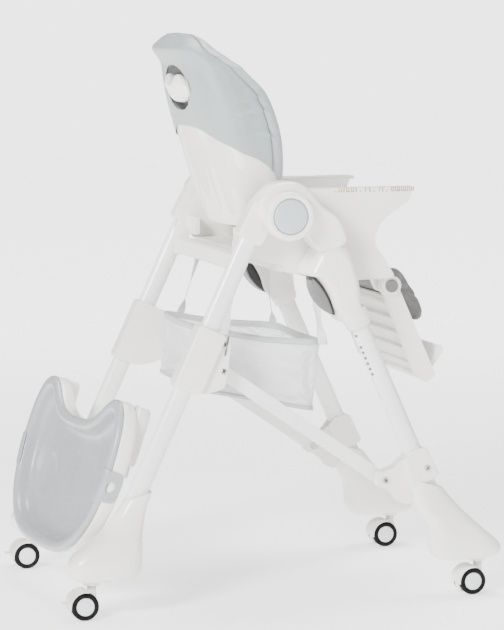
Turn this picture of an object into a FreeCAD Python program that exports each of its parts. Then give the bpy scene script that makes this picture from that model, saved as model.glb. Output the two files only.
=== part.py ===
"""Folding baby high chair on casters: an A-frame of two leg pairs hinged at round hubs, a seat that slides on
the front legs, a reclining back, a swinging footrest, a mesh basket, and a feeding tray parked on the rear legs.

Millimetres. +X is forward, +Y is the child's left, +Z is up, and Z = 0 is the floor. Every piece is drawn with
X = 0 midway between the caster stems, then moved by SHIFT_X so that X = 0 is the middle of the whole chair.
"""
import FreeCAD, Part
import math
import os

V = FreeCAD.Vector
os.makedirs("parts", exist_ok=True)

SHIFT_X = 9.0

# Frame lines, seen from the side: a leg's axis passes through (x, z) and leans by angle from vertical.
HUB_X, HUB_Z = -7.0, 708.0
FRONT_LEG = {"x": 138.0, "z": 506.0, "lean": -24.04}
REAR_LEG = {"x": -178.8, "z": 430.0, "lean": 24.65}
LEG_Y = 215.0
LEG_DEEP, LEG_WIDE, LEG_WALL = 17.5, 12.0, 1.6
SLEEVE_IN, SLEEVE_OUT = 197.5, 232.5
FRONT_PIVOT = (190.0, 216.0)
COLLAR_PIVOT = (-120.0, 430.0)
LINK_HALF = 12.5
PIN_R, HUB_PIN_R, RUN = 4.0, 8.0, 0.05

# Wheels
CASTER_Y, WHEEL_R, WHEEL_IN, WHEEL_OUT = 235.0, 25.0, 9.0, 22.0
FRONT_STEM_X, REAR_STEM_X, TRAIL = 367.0, -368.0, 16.0
CUP_Z = 60.0

# Seat, back and footrest
SEAT_IN, SEAT_OUT = 167.0, 179.0
RECLINE_X, RECLINE_Z = 25.0, 650.0
FOOT_X, FOOT_Z = 220.0, 568.0

# Parked tray: its rim plane, from the middle of its lower edge
TRAY_X, TRAY_Z, TRAY_LEAN, TRAY_YAW = -410.0, 88.0, 18.4, 5.7
TRAY_HALF, TRAY_TALL, TRAY_DEEP = 236.0, 316.0, 32.0
WALL_PIECES = 12


def box(x0, x1, y0, y1, z0, z1):
    return Part.makeBox(x1 - x0, y1 - y0, z1 - z0, V(x0, y0, z0))


def rod(x, z, radius, y0, y1):
    """A cylinder along Y."""
    return Part.makeCylinder(radius, y1 - y0, V(x, y0, z), V(0, 1, 0))


def post(x, y, radius, z0, z1):
    """A cylinder along Z."""
    return Part.makeCylinder(radius, z1 - z0, V(x, y, z0), V(0, 0, 1))


def outline(points, radius):
    """A closed wire through points, each corner rounded. A point may carry its own radius as a fourth number."""
    starts, ends, mids = [], [], []
    count = len(points)
    for i, p in enumerate(points):
        here = V(*p[:3])
        before = V(*points[i - 1][:3]) - here
        after = V(*points[(i + 1) % count][:3]) - here
        want = p[3] if len(p) > 3 else radius
        half = before.getAngle(after) / 2
        reach = min(want / math.tan(half), 0.47 * before.Length, 0.47 * after.Length)
        r = reach * math.tan(half)
        before.normalize()
        after.normalize()
        starts.append(here + before * reach)
        ends.append(here + after * reach)
        middle = before + after
        middle.normalize()
        mids.append(here + middle * (r / math.sin(half) - r))
    edges = []
    for i in range(count):
        edges.append(Part.Arc(starts[i], mids[i], ends[i]).toShape())
        edges.append(Part.LineSegment(ends[i], starts[(i + 1) % count]).toShape())
    return Part.Wire(edges)


def plate(points, radius, y0, y1):
    """A side-view outline of (x, z) points, thick from y0 to y1."""
    wire = outline([(p[0], y0, p[1]) + tuple(p[2:]) for p in points], radius)
    return Part.Face(wire).extrude(V(0, y1 - y0, 0))


def level(z, x0, x1, y0, y1, radius):
    """A rounded rectangle at height z."""
    return outline([(x0, y0, z), (x1, y0, z), (x1, y1, z), (x0, y1, z)], radius)


def loft(sections):
    return Part.makeLoft(sections, True, True)


def along(leg, shape):
    """Puts a shape drawn about its own Z axis (X = towards the front) on a leg's axis."""
    turn = FreeCAD.Rotation(V(0, 1, 0), leg["lean"])
    shape.Placement = FreeCAD.Placement(V(leg["x"], 0, leg["z"]), turn).multiply(shape.Placement)
    return shape


def oval(deep, wide, s0, s1):
    """An oval bar along Z at the legs' Y, deep in X and wide in Y."""
    ring = Part.Ellipse(V(0, 0, 0), deep, wide).toShape()
    bar = Part.Face(Part.Wire(ring)).extrude(V(0, 0, s1 - s0))
    bar.translate(V(0, LEG_Y, s0))
    return bar


def leg_plate(leg, points, radius, y0, y1):
    """A side-view outline in a leg's own (forward, up) directions."""
    return along(leg, plate(points, radius, y0, y1))


def leg_core(leg, gap, s0=-500, s1=400):
    """The leg's solid oval, grown by gap, for cutting its socket."""
    return along(leg, oval(LEG_DEEP + gap, LEG_WIDE + gap, s0, s1))


def join(first, *others):
    return first.fuse(list(others)).removeSplitter()


def soften(shape, radius, keep):
    """Rounds the edges that keep(edge) picks, one size smaller if the first size doesn't fit."""
    edges = [e for e in shape.Edges if keep(e)]
    for r in (radius, radius / 2):
        try:
            rounded = shape.makeFillet(r, edges)
        except Exception:
            continue
        if rounded.isValid() and len(rounded.Solids) == len(shape.Solids):
            return rounded
    return shape


def on_side(y):
    """Picks edges that lie wholly in the plane Y = y."""
    return lambda e: all(abs(v.Y - y) < 0.01 for v in e.Vertexes) and abs(e.CenterOfMass.y - y) < 0.01


def mirrored(shape):
    return shape.mirror(V(0, 0, 0), V(0, 1, 0))


def write(name, *shapes):
    """Moves the shapes to the chair's middle and writes them as one node."""
    solids = [s for shape in shapes for s in shape.Solids]
    node = Part.makeCompound(solids) if len(solids) > 1 else solids[0]
    node.translate(V(SHIFT_X, 0, 0))
    bad = [s for s in solids if not s.isValid() or s.Volume < 1]
    if bad:
        print("invalid solid in", name)
    node.exportStep("parts/" + name + ".step")


def write_pair(name, *shapes):
    """The child's left is drawn, and the right mirrors it."""
    write(name + "_left", *[s.copy() for s in shapes])
    write(name + "_right", *[mirrored(s) for s in shapes])


# ---------------------------------------------------------------- front frame

def front_leg_tube():
    s0, s1 = -395.0, 250.0
    tube = oval(LEG_DEEP, LEG_WIDE, s0, s1).cut(oval(LEG_DEEP - LEG_WALL, LEG_WIDE - LEG_WALL, s0 - 1, s1 + 1))
    for step in range(6):
        s = 20.0 - 31.5 * step
        tube = tube.cut(box(-25, -10, LEG_Y - 3, LEG_Y + 3, s - 5, s + 5))
    return along(FRONT_LEG, tube)


def front_connector():
    """The outer half of the hub: a round cover with a socket that holds the front leg's top."""
    cover_in, cover_out, disc_out = 232.5, 250.0, 268.0
    cover = plate([(-64, 736), (-44, 764), (-8, 771), (28, 762), (66, 738), (98, 702), (79, 653), (47, 653),
                   (30, 690), (-10, 690), (-48, 712)], 16, cover_in, cover_out)
    cover = soften(cover, 8, on_side(cover_out))
    disc = soften(rod(HUB_X, HUB_Z, 46, cover_in, disc_out), 4, on_side(disc_out))
    socket = plate([(36, 738), (66, 738), (94, 702), (78, 654), (48, 654), (33, 690)], 8, SLEEVE_IN, cover_in + 1)
    socket = soften(socket, 3, on_side(SLEEVE_IN))
    whole = join(cover, disc, socket)
    whole = whole.cut(leg_core(FRONT_LEG, 0.2, -100, 251))
    for radius, y0, y1 in ((33, 258, 270), (13.2, 249.9, 259), (HUB_PIN_R, 190, 250)):
        whole = whole.cut(rod(HUB_X, HUB_Z, radius, y0, y1))
    return whole


def front_foot():
    y0, y1 = 198.0, 270.0
    shell = loft([level(68, 288, 386, y0 + 8, y1 - 8, 26), level(76, 274, 404, y0 + 1, y1 - 1, 30),
                  level(96, 271, 405, y0, y1, 32), level(122, 271, 380, y0, y1 - 2, 30),
                  level(160, 256, 336, y0, y1 - 16, 22), level(205, 243, 296, y0 - 1, y1 - 34, 15)])
    cup = post(FRONT_STEM_X, CASTER_Y, 15, CUP_Z, 69)
    shell = join(shell, cup).cut(leg_core(FRONT_LEG, 0.2, -400, -280))
    return shell.cut(post(FRONT_STEM_X, CASTER_Y, 5.5, CUP_Z - 1, 86))


def front_bracket(foot, screw):
    """The collar above the front foot, with the arm that carries the link bar's pivot."""
    sleeve = plate([(267, 275), (293, 222), (262, 206), (240, 203), (222, 252), (236, 270)], 6, SLEEVE_IN,
                   SLEEVE_OUT)
    arm = plate([(232, 262), (246, 206), (240, 166), (218, 174), (204, 192), (190, 201, 14), (175, 204, 14),
                 (176, 230, 14), (206, 240, 20)], 8, 199, 222)
    sleeve = soften(sleeve, 4, on_side(SLEEVE_OUT))
    body = join(sleeve, arm).cut(leg_core(FRONT_LEG, 0.2)).cut(foot).cut(screw)
    return body.cut(rod(FRONT_PIVOT[0], FRONT_PIVOT[1], PIN_R, 190, 224))


def screw_head(x, z, y):
    """A domed head standing 2.5 mm proud of the face at y, with its shank behind it."""
    head = soften(rod(x, z, 6.0, y, y + 2.5), 1.2, on_side(y + 2.5))
    return join(head, rod(x, z, 2.5, y - 4, y + 0.1))


def bracket_screw():
    return screw_head(268, 237, SLEEVE_OUT)


def front_fasteners():
    """Hub pins, bracket screws and the link bars' pivot pins, both sides."""
    px, pz = FRONT_PIVOT
    hub = join(rod(HUB_X, HUB_Z, HUB_PIN_R, 198, 250), rod(HUB_X, HUB_Z, 13, 250, 256))
    pivot = join(rod(px, pz, PIN_R, 187.5, 223), rod(px, pz, 6, 222, 224.5), rod(px, pz, 7, 185, 188))
    one_side = [hub, pivot, bracket_screw()]
    return one_side + [mirrored(s) for s in one_side]


# ---------------------------------------------------------------- rear frame

def rear_leg_tube():
    s0, s1 = -340.0, 318.0
    tube = oval(LEG_DEEP, LEG_WIDE, s0, s1).cut(oval(LEG_DEEP - LEG_WALL, LEG_WIDE - LEG_WALL, s0 - 1, s1 + 1))
    return along(REAR_LEG, tube)


def rear_connector():
    """The inner half of the hub: a knuckle on the pin, and a socket that holds the rear leg's top."""
    socket = plate([(-95, 675), (-52, 651), (-30, 684), (-14, 688), (-10, 726), (-36, 744), (-62, 736)], 9,
                   SLEEVE_IN, 231)
    socket = soften(socket, 4, on_side(231))
    knuckle = rod(HUB_X, HUB_Z, 27, 199, 231)
    return join(socket, knuckle).cut(leg_core(REAR_LEG, 0.2, -100, 319)).cut(
        rod(HUB_X, HUB_Z, HUB_PIN_R + RUN, 190, 240))


def rear_crossbar():
    """The yoke that ties the two rear legs together below the hubs."""
    bar = soften(box(-92, -74, -192, 192, 606, 640), 6, lambda e: e.Length > 300)
    end = plate([(-94, 603), (-72, 603), (-66, 640), (-52, 668), (-58, 694), (-84, 690), (-92, 660)], 6, 186, 197)
    return join(bar, end, mirrored(end))


def rear_foot():
    y0, y1 = 198.0, 270.0
    shell = loft([level(68, -390, -296, y0 + 8, y1 - 8, 26), level(76, -408, -282, y0 + 1, y1 - 1, 30),
                  level(96, -410, -277, y0, y1, 32), level(122, -392, -276, y0, y1 - 2, 30),
                  level(160, -350, -268, y0, y1 - 16, 24), level(213, -304, -250, y0 - 1, y1 - 34, 15)])
    cup = post(REAR_STEM_X, CASTER_Y, 15, CUP_Z, 69)
    shell = join(shell, cup).cut(leg_core(REAR_LEG, 0.2, -341, 0))
    return shell.cut(post(REAR_STEM_X, CASTER_Y, 5.5, CUP_Z - 1, 86))


# ---------------------------------------------------------------- fold linkage

def fold_collar():
    """The sleeve that slides up the rear leg as the chair folds, with the flange that meets the link bar."""
    reach = 53.5
    body = leg_plate(REAR_LEG, [(-23, -36), (23, -32), (40, -24), (reach, -15, 13), (reach + 15, -2, 14),
                                (reach + 9, 22, 18), (46, 74), (40, 82), (23, 86), (-23, 86)], 7, SLEEVE_IN,
                     SLEEVE_OUT)
    body = soften(body, 4, on_side(SLEEVE_OUT))
    slim = leg_plate(REAR_LEG, [(30, -60), (120, -60), (120, 120), (30, 120)], 4, 225, 240)
    body = body.cut(slim).cut(leg_core(REAR_LEG, 0.5))
    return body.cut(Part.makeCompound(collar_fasteners()))


def collar_fasteners():
    """The two screws in the collar's flange and the small dark latch tongue between them."""
    x, z = COLLAR_PIVOT
    tongue = leg_plate(REAR_LEG, [(43, 28), (47, 28), (44, 66), (41, 66)], 1.5, 225, 228)
    return [screw_head(x, z, 225), screw_head(-117, 477, 225), tongue]


def link_bar():
    (fx, fz), (cx, cz) = FRONT_PIVOT, COLLAR_PIVOT
    length = math.hypot(cx - fx, cz - fz)
    ux, uz = (cx - fx) / length, (cz - fz) / length
    corner = LINK_HALF * 1.02

    def at(s, side):
        return (fx + ux * s - uz * side, fz + uz * s + ux * side, LINK_HALF)

    bar = plate([at(-corner, -LINK_HALF), at(length + corner, -LINK_HALF), at(length + corner, LINK_HALF),
                 at(-corner, LINK_HALF)], LINK_HALF, 188.5, 196.5)
    return bar.cut(rod(fx, fz, PIN_R + RUN, 180, 200))


def fold_button():
    return soften(rod(HUB_X, HUB_Z, 32, 262, 270), 2.5, on_side(270))


# ---------------------------------------------------------------- seat

def seat_shell():
    """A bucket: two side walls with armrest tops, a pan, a low rear wall each side and the footrest's ears."""
    side = [(258, 751), (247, 724), (235, 717), (212, 702), (192, 684), (183, 661, 18), (184, 645), (199, 624),
            (223, 586), (205, 584), (150, 582), (80, 585), (12, 600), (4, 615), (-20, 617), (-45, 625), (-62, 638),
            (-74, 656), (-76, 690), (-52, 722), (-34, 751)]
    wall = plate(side, 5, SEAT_IN, SEAT_OUT)
    arm_top = soften(box(18, 258, 150, SEAT_OUT, 745, 751), 2, lambda e: e.Length > 200)
    for x in [105, 113, 121, 129, 137, 145, 153, 172, 180, 196, 204] + [216 + 5.5 * k for k in range(8)]:
        wall = wall.cut(box(x, x + 2.5, SEAT_OUT - 3, SEAT_OUT + 1, 743, 752))
    rear = box(-72, -62, 125, SEAT_IN, 646, 680)
    pan = box(4, 196, -SEAT_IN, SEAT_IN, 600, 610)
    rear_pan = box(-60, 6, -SEAT_IN, SEAT_IN, 634, 640).fuse(box(-2, 6, -SEAT_IN, SEAT_IN, 602, 640))
    ear = plate([(150, 601), (196, 601), (216, 590), (235, 572, 14), (224, 553, 14), (204, 556, 12), (190, 585)],
                6, 118, 138)
    ear = ear.cut(rod(FOOT_X, FOOT_Z, 6 + RUN, 100, 200))
    both = [side_part for part in (wall, rear, ear, arm_top) for side_part in (part, mirrored(part))]
    shell = join(pan, rear_pan.removeSplitter(), *both)
    for hinge in (rod(RECLINE_X, RECLINE_Z, 6, 150, SEAT_IN + 1), rod(RECLINE_X, RECLINE_Z, 6, -SEAT_IN - 1, -150)):
        shell = shell.fuse(hinge)
    return shell.removeSplitter()


def seat_carriage():
    """The height-adjuster housing that rides on the front leg and carries one side of the seat."""
    pod = plate([(49, 621), (64, 636, 20), (104, 648, 34), (146, 628, 34), (162, 580, 30), (156, 512), (120, 494),
                 (107, 524), (84, 562), (66, 610)], 9, SEAT_OUT, 238)
    pod = soften(pod, 12, on_side(238))
    collar = leg_plate(FRONT_LEG, [(-24, -16), (24, -16), (23, 14), (-23, 14)], 4, SLEEVE_IN, SLEEVE_OUT + 2)
    return join(pod, collar).cut(leg_core(FRONT_LEG, 0.6))


def height_lever():
    """The curved squeeze paddle on the rear face of the carriage."""
    return plate([(47, 604), (54, 604), (69, 566), (95, 527), (89, 522), (59, 554)], 3, 188, 229)


def seat_cushion():
    return soften(box(10, 186, -142, 142, 612, 634), 8, lambda e: True)


def harness():
    """Waist strap, crotch strap and buckle on the seat."""
    waist = box(60, 63, -60, 60, 640, 675)
    crotch = box(64, 110, -16, 16, 636, 639)
    buckle = soften(box(56, 67, -24, 24, 643, 683), 3, lambda e: True)
    return [crotch.cut(buckle), buckle, waist.cut(box(40, 80, -24, 24, 600, 700))]


# ---------------------------------------------------------------- back

BACK_LEVELS = [(680, -66, 5, 110), (705, -76, 8, 122), (745, -88, 11, 150), (800, -104, 11, 163),
               (860, -121, 3, 164), (925, -138, -21, 157), (972, -147, -62, 138), (1006, -150, -108, 106),
               (1024, -146, -128, 74)]


def back_section(z, x0, x1, half, rear, front, side, radius):
    """A section of the back whose rear wall bows back in the middle. Each face can stand out from the plain form."""
    bow, flat = min(0.13 * half, 0.2 * (x1 - x0)), 0.42 * half
    x0, x1, half = x0 - rear, x1 + front, half + side
    return outline([(x0, -flat, z, 120), (x0 + bow, -half, z), (x1, -half, z), (x1, half, z), (x0 + bow, half, z),
                    (x0, flat, z, 120)], radius)


def back_solid(grow, lift=0.0):
    """The bucket back's full outer form, grown all round."""
    return loft([back_section(z + lift, x0, x1, half, grow, grow, grow, min(36, 0.42 * (x1 - x0)))
                 for z, x0, x1, half in BACK_LEVELS])


def back_hollow(wall, front):
    """The hollow in front of the back's rear wall, open towards the child."""
    return loft([back_section(z, x0, x1, half, -wall, front, -wall, min(28, 0.4 * (x1 - x0)))
                 for z, x0, x1, half in BACK_LEVELS[1:-1]])


def back_shell():
    shell = back_solid(0).cut(back_hollow(10, 60))
    ear = plate([(11, 650, 13), (12, 637, 13), (38, 637, 13), (39, 654, 13), (10, 748), (-30, 748), (-20, 716)], 9,
                146, 149.9)
    ear = ear.cut(rod(RECLINE_X, RECLINE_Z, 4, 100, 200))
    shell = join(shell, ear, mirrored(ear))
    return shell.cut(handle_window())


def handle_window():
    """The oval opening in the rear wall for the recline handle."""
    oval_face = Part.Face(Part.Wire(Part.Ellipse(V(0, 0, 0), 76, 43).toShape()))
    hole = oval_face.extrude(V(0, 0, 60))
    turn = FreeCAD.Rotation(V(0, 1, 0), -90).multiply(FreeCAD.Rotation(V(0, 0, 1), 90))
    hole.Placement = FreeCAD.Placement(V(-110, 0, 930), turn)
    return hole


def back_cover():
    """The grey hood that slips over the top of the back from above."""
    hood = back_solid(4.5, 2.5).cut(back_solid(0.6, 0.4))
    lower = plate([(-260, 600), (200, 600), (200, 772), (-20, 786), (-260, 868)], 2, -300, 300)
    mouth = back_hollow(14, 90)
    return hood.cut(lower).cut(mouth).cut(handle_window())


def back_cushion():
    """The padded liner inside the bucket."""
    return back_hollow(11.5, -6).cut(back_hollow(30, 60))


def recline_handle():
    return soften(box(-152, -134, -46, 46, 908, 950), 6, lambda e: e.Length > 10)


# ---------------------------------------------------------------- footrest

def footrest_frame():
    """Two arms hang from the seat's ears, with a ribbed board and a foot ledge between them."""
    arm = plate([(236, 566), (311, 398), (291, 384), (271, 402), (206, 562)], 7, 141, 160)
    ring = rod(FOOT_X, FOOT_Z, 19, 141, 166)
    bottom = 392.0
    board = plate([(232, 540), (240, 543), (300, 404), (288, 398)], 2, -142, 142)
    slots = []
    for row in range(4):
        x, z = 246 + 13.0 * row, 518 - 30.0 * row
        slots.append(box(x - 30, x + 30, -126, -96, z - 8, z + 4))
        slots.append(box(x - 30, x + 30, 96, 126, z - 8, z + 4))
    ledge = plate([(276, bottom + 6), (292, 386), (332, 440), (330, 450), (322, 452), (300, 404)], 4, -142, 142)
    whole = join(board.cut(Part.makeCompound(slots)), ledge, arm, ring, mirrored(arm), mirrored(ring))
    for row in range(5):
        x, z = 238 + 12.5 * row, 534 - 28.5 * row
        whole = whole.fuse(plate([(x - 12, z - 6), (x + 3, z), (x + 3, z + 3), (x - 12, z - 3)], 1, -142, 142))
    whole = whole.removeSplitter()
    return whole.cut(rod(FOOT_X, FOOT_Z, 6, 139, 170)).cut(rod(FOOT_X, FOOT_Z, 6, -170, -139))


def footrest_pins():
    """A dark cap outside each ring, on the pin that runs through the ring and the seat's ear."""
    pin = rod(FOOT_X, FOOT_Z, 6, 120, 166)
    cap = soften(rod(FOOT_X, FOOT_Z, 12, 166, 170), 1.5, on_side(170))
    one = join(pin, cap)
    return [one, mirrored(one)]


def calf_pad():
    pad = plate([(235, 596), (246, 602), (304, 512), (303, 496), (288, 490), (244, 560)], 9, -114, 114)
    return pad.cut(rod(FOOT_X, FOOT_Z, 27, -180, 180))


# ---------------------------------------------------------------- basket

BASKET_HALF = 150.0


def basket():
    """A hanging mesh box, open at the top."""
    outer = plate([(-145, 384), (86, 336), (100, 470), (-138, 503)], 8, -BASKET_HALF, BASKET_HALF)
    inner = plate([(-140, 390), (81, 342), (97, 520), (-133, 540)], 8, -BASKET_HALF + 4, BASKET_HALF - 4)
    return outer.cut(inner)


def ribbon(top, bottom, half, thick):
    """A flat strap between two points, half wide along the chair and thick across it."""
    (x1, y1, z1), (x0, y0, z0) = top, bottom
    upper = Part.makePolygon([V(x1 - half, y1, z1), V(x1 + half, y1, z1), V(x1 + half, y1 + thick, z1),
                              V(x1 - half, y1 + thick, z1), V(x1 - half, y1, z1)])
    lower = Part.makePolygon([V(x0 - half, y0, z0), V(x0 + half, y0, z0), V(x0 + half, y0 + thick, z0),
                              V(x0 - half, y0 + thick, z0), V(x0 - half, y0, z0)])
    return loft([lower, upper])


def basket_straps():
    rear = ribbon((-58, 124, 634), (-96, 152, 490), 8, 2)
    front = ribbon((74, 150, 582), (92, 152, 462), 8, 2)
    return [rear, mirrored(rear), front, mirrored(front)]


# ---------------------------------------------------------------- parked tray

def tray_frame(shape):
    """From the tray's own frame (X across, Y up its face, Z out of its rim) to where it hangs."""
    turn = FreeCAD.Rotation(V(0, 0, 1), TRAY_YAW).multiply(FreeCAD.Rotation(V(0, 1, 0), TRAY_LEAN))
    face = FreeCAD.Rotation(FreeCAD.Matrix(0, 0, -1, 0, -1, 0, 0, 0, 0, 1, 0, 0, 0, 0, 0, 1))
    shape.Placement = FreeCAD.Placement(V(TRAY_X, 0, TRAY_Z), turn.multiply(face))
    return shape


def tray_outline(inset, depth):
    """D-shaped: a wide round front edge below, and two horns either side of the belly cut above."""
    w, h = TRAY_HALF - inset, TRAY_TALL - inset
    right = [(0.38 * w, inset, depth, 150), (0.74 * w, 34 + inset, depth, 110), (0.95 * w, 112, depth, 100),
             (w, 190, depth, 120), (0.90 * w, h - 12, depth, 26), (0.72 * w, h - 2, depth, 26),
             (0.44 * w, h - 44, depth, 60), (0.18 * w, h - 50, depth, 60)]
    left = [(-x, y, z, r) for x, y, z, r in reversed(right)]
    return outline(right + left, 20)


def in_pieces(shape, floor):
    """A tray moulding as its floor, in three, and a ring of wall pieces that meet it and each other face to face."""
    cut = TRAY_TALL - 50
    below = [box(-300, 300, -50, cut, -90, floor), box(0, 300, cut, 400, -90, floor),
             box(-300, 0, cut, 400, -90, floor)]
    wedges = []
    for n in range(WALL_PIECES):
        corners = [(0, TRAY_TALL / 2)]
        for k in (n, n + 1):
            a = 2 * math.pi * k / WALL_PIECES
            corners.append((600 * math.cos(a), TRAY_TALL / 2 + 600 * math.sin(a)))
        corners.append(corners[0])
        wedge = Part.Face(Part.makePolygon([V(x, y, floor) for x, y in corners])).extrude(V(0, 0, 90))
        wedges.append(wedge)
    return [solid for cutter in below + wedges for solid in shape.common(cutter).Solids]


def tray_base():
    shell = loft([tray_outline(14, -TRAY_DEEP), tray_outline(6, -TRAY_DEEP + 5), tray_outline(0, -6),
                  tray_outline(1.5, -3)])
    well = loft([tray_outline(34, -26), tray_outline(26, -2)])
    hooks = [box(x - 14, x + 14, 196, 304, -TRAY_DEEP - 24, -TRAY_DEEP + 4) for x in (190, -190)]
    bowl = shell.cut(well).cut(hooks[0]).cut(hooks[1])
    return [tray_frame(solid) for solid in in_pieces(bowl, -26) + hooks]


def tray_insert():
    """The grey lift-out dish: a rolled rim and a deep well."""
    rim = loft([tray_outline(4, -2.6), tray_outline(3, 4), tray_outline(8, 8)])
    dish = loft([tray_outline(36, -24), tray_outline(27, 0)])
    hollow = loft([tray_outline(40, -20), tray_outline(31, -2), tray_outline(20, 9)])
    lug = box(TRAY_HALF - 30, TRAY_HALF + 5, 128, 180, -2.4, 5).fuse(
        box(TRAY_HALF + 1.6, TRAY_HALF + 5, 128, 180, -28, 5))
    other = lug.mirror(V(0, 0, 0), V(1, 0, 0))
    whole = join(rim.fuse(dish).removeSplitter().cut(hollow), lug.cut(hollow), other.cut(hollow))
    return [tray_frame(solid) for solid in in_pieces(whole, -20)]


def tray_latch(side):
    """The squeeze latch below a tray bracket."""
    return tray_frame(box(side * 190 - 9, side * 190 + 9, 176, 195.7, -TRAY_DEEP - 16, -TRAY_DEEP - 1))


# ---------------------------------------------------------------- casters

def caster_stems(stem_x):
    """Steel stems in the two feet of one leg pair, each with a collar ring."""
    stem = join(post(stem_x, CASTER_Y, 5.2, 47, 84), post(stem_x, CASTER_Y, 8, 54, 57))
    return [stem, mirrored(stem)]


def caster_hood(stem_x, side):
    """The body between the twin wheels, with a curved guard over their rear top."""
    x, y = stem_x - TRAIL, side * CASTER_Y
    guard = rod(x, WHEEL_R, 27.5, y - 23, y + 23).cut(rod(x, WHEEL_R, 25.6, y - 24, y + 24))
    guard = guard.cut(box(x - 60, x + 60, y - 30, y + 30, -30, 21)).cut(box(x + 6, x + 60, y - 30, y + 30, 0, 70))
    web = rod(x, WHEEL_R, 26, y - 8.4, y + 8.4).cut(box(x - 60, x + 60, y - 30, y + 30, -30, 8))
    neck = post(stem_x, y, 8.5, 28, 53.6)
    body = join(web, guard, neck)
    axle = rod(x, WHEEL_R, 3, y - 21, y + 21)
    return body.fuse(axle).removeSplitter().cut(post(stem_x, y, 5.2 + RUN, 46.9, 90))


def caster_rims(stem_x, side):
    x, y = stem_x - TRAIL, side * CASTER_Y
    rims = []
    for turn in (-1, 1):
        y0, y1 = sorted((y + turn * WHEEL_IN, y + turn * (WHEEL_OUT + 0.6)))
        rim = soften(rod(x, WHEEL_R, 18, y0, y1), 1.5, on_side(y + turn * (WHEEL_OUT + 0.6)))
        rims.append(rim.cut(rod(x, WHEEL_R, 3 + RUN, min(y, y + turn * 21.1), max(y, y + turn * 21.1))))
    return rims


def caster_tyres(stem_x, side):
    x, y = stem_x - TRAIL, side * CASTER_Y
    tyres = []
    for turn in (-1, 1):
        y0, y1 = sorted((y + turn * WHEEL_IN, y + turn * WHEEL_OUT))
        tyre = soften(rod(x, WHEEL_R, WHEEL_R, y0, y1), 3, lambda e: True)
        tyres.append(tyre.cut(rod(x, WHEEL_R, 18, y0 - 1, y1 + 1)))
    return tyres


def brake_pedal(side):
    x, y = REAR_STEM_X - TRAIL, side * CASTER_Y
    return soften(box(x - 38.5, x - 28.5, y - 8, y + 8, 27, 31), 1.5, lambda e: True)


def main():
    foot = front_foot()
    write_pair("front_leg_tube", front_leg_tube())
    write_pair("front_connector", front_connector())
    write_pair("front_foot", foot)
    write_pair("front_bracket", front_bracket(foot, bracket_screw()))
    write("front_frame_fasteners", *front_fasteners())
    write("front_caster_stems", *caster_stems(FRONT_STEM_X))

    write_pair("rear_leg_tube", rear_leg_tube())
    write_pair("rear_connector", rear_connector())
    write_pair("rear_foot", rear_foot())
    write("rear_crossbar", rear_crossbar())
    write("rear_caster_stems", *caster_stems(REAR_STEM_X))

    write_pair("fold_collar", fold_collar())
    write_pair("collar_fasteners", *collar_fasteners())
    write_pair("link_bar", link_bar())
    write_pair("fold_button", fold_button())

    write("seat_shell", seat_shell())
    write_pair("seat_carriage", seat_carriage())
    write_pair("height_lever", height_lever())
    write("seat_cushion", seat_cushion())
    write("harness", *harness())

    write("back_shell", back_shell())
    write("back_cover", back_cover())
    write("back_cushion", back_cushion())
    write("recline_handle", recline_handle())

    write("footrest_frame", footrest_frame())
    write("footrest_pins", *footrest_pins())
    write("calf_pad", calf_pad())

    write("basket", basket())
    write("basket_straps", *basket_straps())

    write("tray_base", *tray_base())
    write("tray_insert", *tray_insert())
    write("tray_latch_left", tray_latch(-1))
    write("tray_latch_right", tray_latch(1))

    for place, stem_x in (("front", FRONT_STEM_X), ("rear", REAR_STEM_X)):
        for name, side in (("left", 1), ("right", -1)):
            where = place + "_" + name
            write("caster_hood_" + where, caster_hood(stem_x, side))
            write("caster_rims_" + where, *caster_rims(stem_x, side))
            write("caster_tyres_" + where, *caster_tyres(stem_x, side))
    write("brake_pedal_left", brake_pedal(1))
    write("brake_pedal_right", brake_pedal(-1))


main()
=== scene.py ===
"""Looks of the folding baby high chair: upholstery, mesh basket, moulded covers, tray and materials.

Shapes are written in millimetres in the chair's drawing frame (X forward, Y to the child's left, Z up), and
place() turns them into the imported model's metres.
"""
import math

import bmesh
import bpy
import numpy as np
from mathutils import Matrix, Vector


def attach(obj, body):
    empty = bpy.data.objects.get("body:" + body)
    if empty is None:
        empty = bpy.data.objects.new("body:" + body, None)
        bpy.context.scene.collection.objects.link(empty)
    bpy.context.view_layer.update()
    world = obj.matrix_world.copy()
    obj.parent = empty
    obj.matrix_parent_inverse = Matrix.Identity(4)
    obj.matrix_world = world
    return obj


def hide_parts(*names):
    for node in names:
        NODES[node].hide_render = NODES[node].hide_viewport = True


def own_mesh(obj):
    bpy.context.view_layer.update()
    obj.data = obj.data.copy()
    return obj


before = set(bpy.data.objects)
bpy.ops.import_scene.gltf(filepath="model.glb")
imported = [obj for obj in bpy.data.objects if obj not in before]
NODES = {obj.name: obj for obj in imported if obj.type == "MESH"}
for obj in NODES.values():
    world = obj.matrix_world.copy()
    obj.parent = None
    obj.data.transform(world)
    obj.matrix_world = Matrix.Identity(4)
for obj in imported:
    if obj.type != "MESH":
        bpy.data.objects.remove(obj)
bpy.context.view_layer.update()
SIDES = (("left", 1), ("right", -1))
MM = 0.001
SHIFT_X = 9.0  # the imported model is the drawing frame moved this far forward
FRONT_LEG = {"x": 138.0, "z": 506.0, "lean": math.radians(-24.04)}  # where each front leg leaves its pod
LEG_Y = 215.0
CASTER_Y = 235.0
CASTER_X = {"front": 367, "rear": -368}  # the caster stems


def place(x, y, z):
    return Vector(((x + SHIFT_X) * MM, y * MM, z * MM))


# ---------------------------------------------------------------- materials

def linear(hex_colour):
    """A colour written as rrggbb, as the linear RGBA that sockets take."""
    parts = [int(hex_colour[i:i + 2], 16) / 255 for i in (0, 2, 4)]
    return tuple(c / 12.92 if c <= 0.04045 else ((c + 0.055) / 1.055) ** 2.4 for c in parts) + (1.0,)


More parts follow.
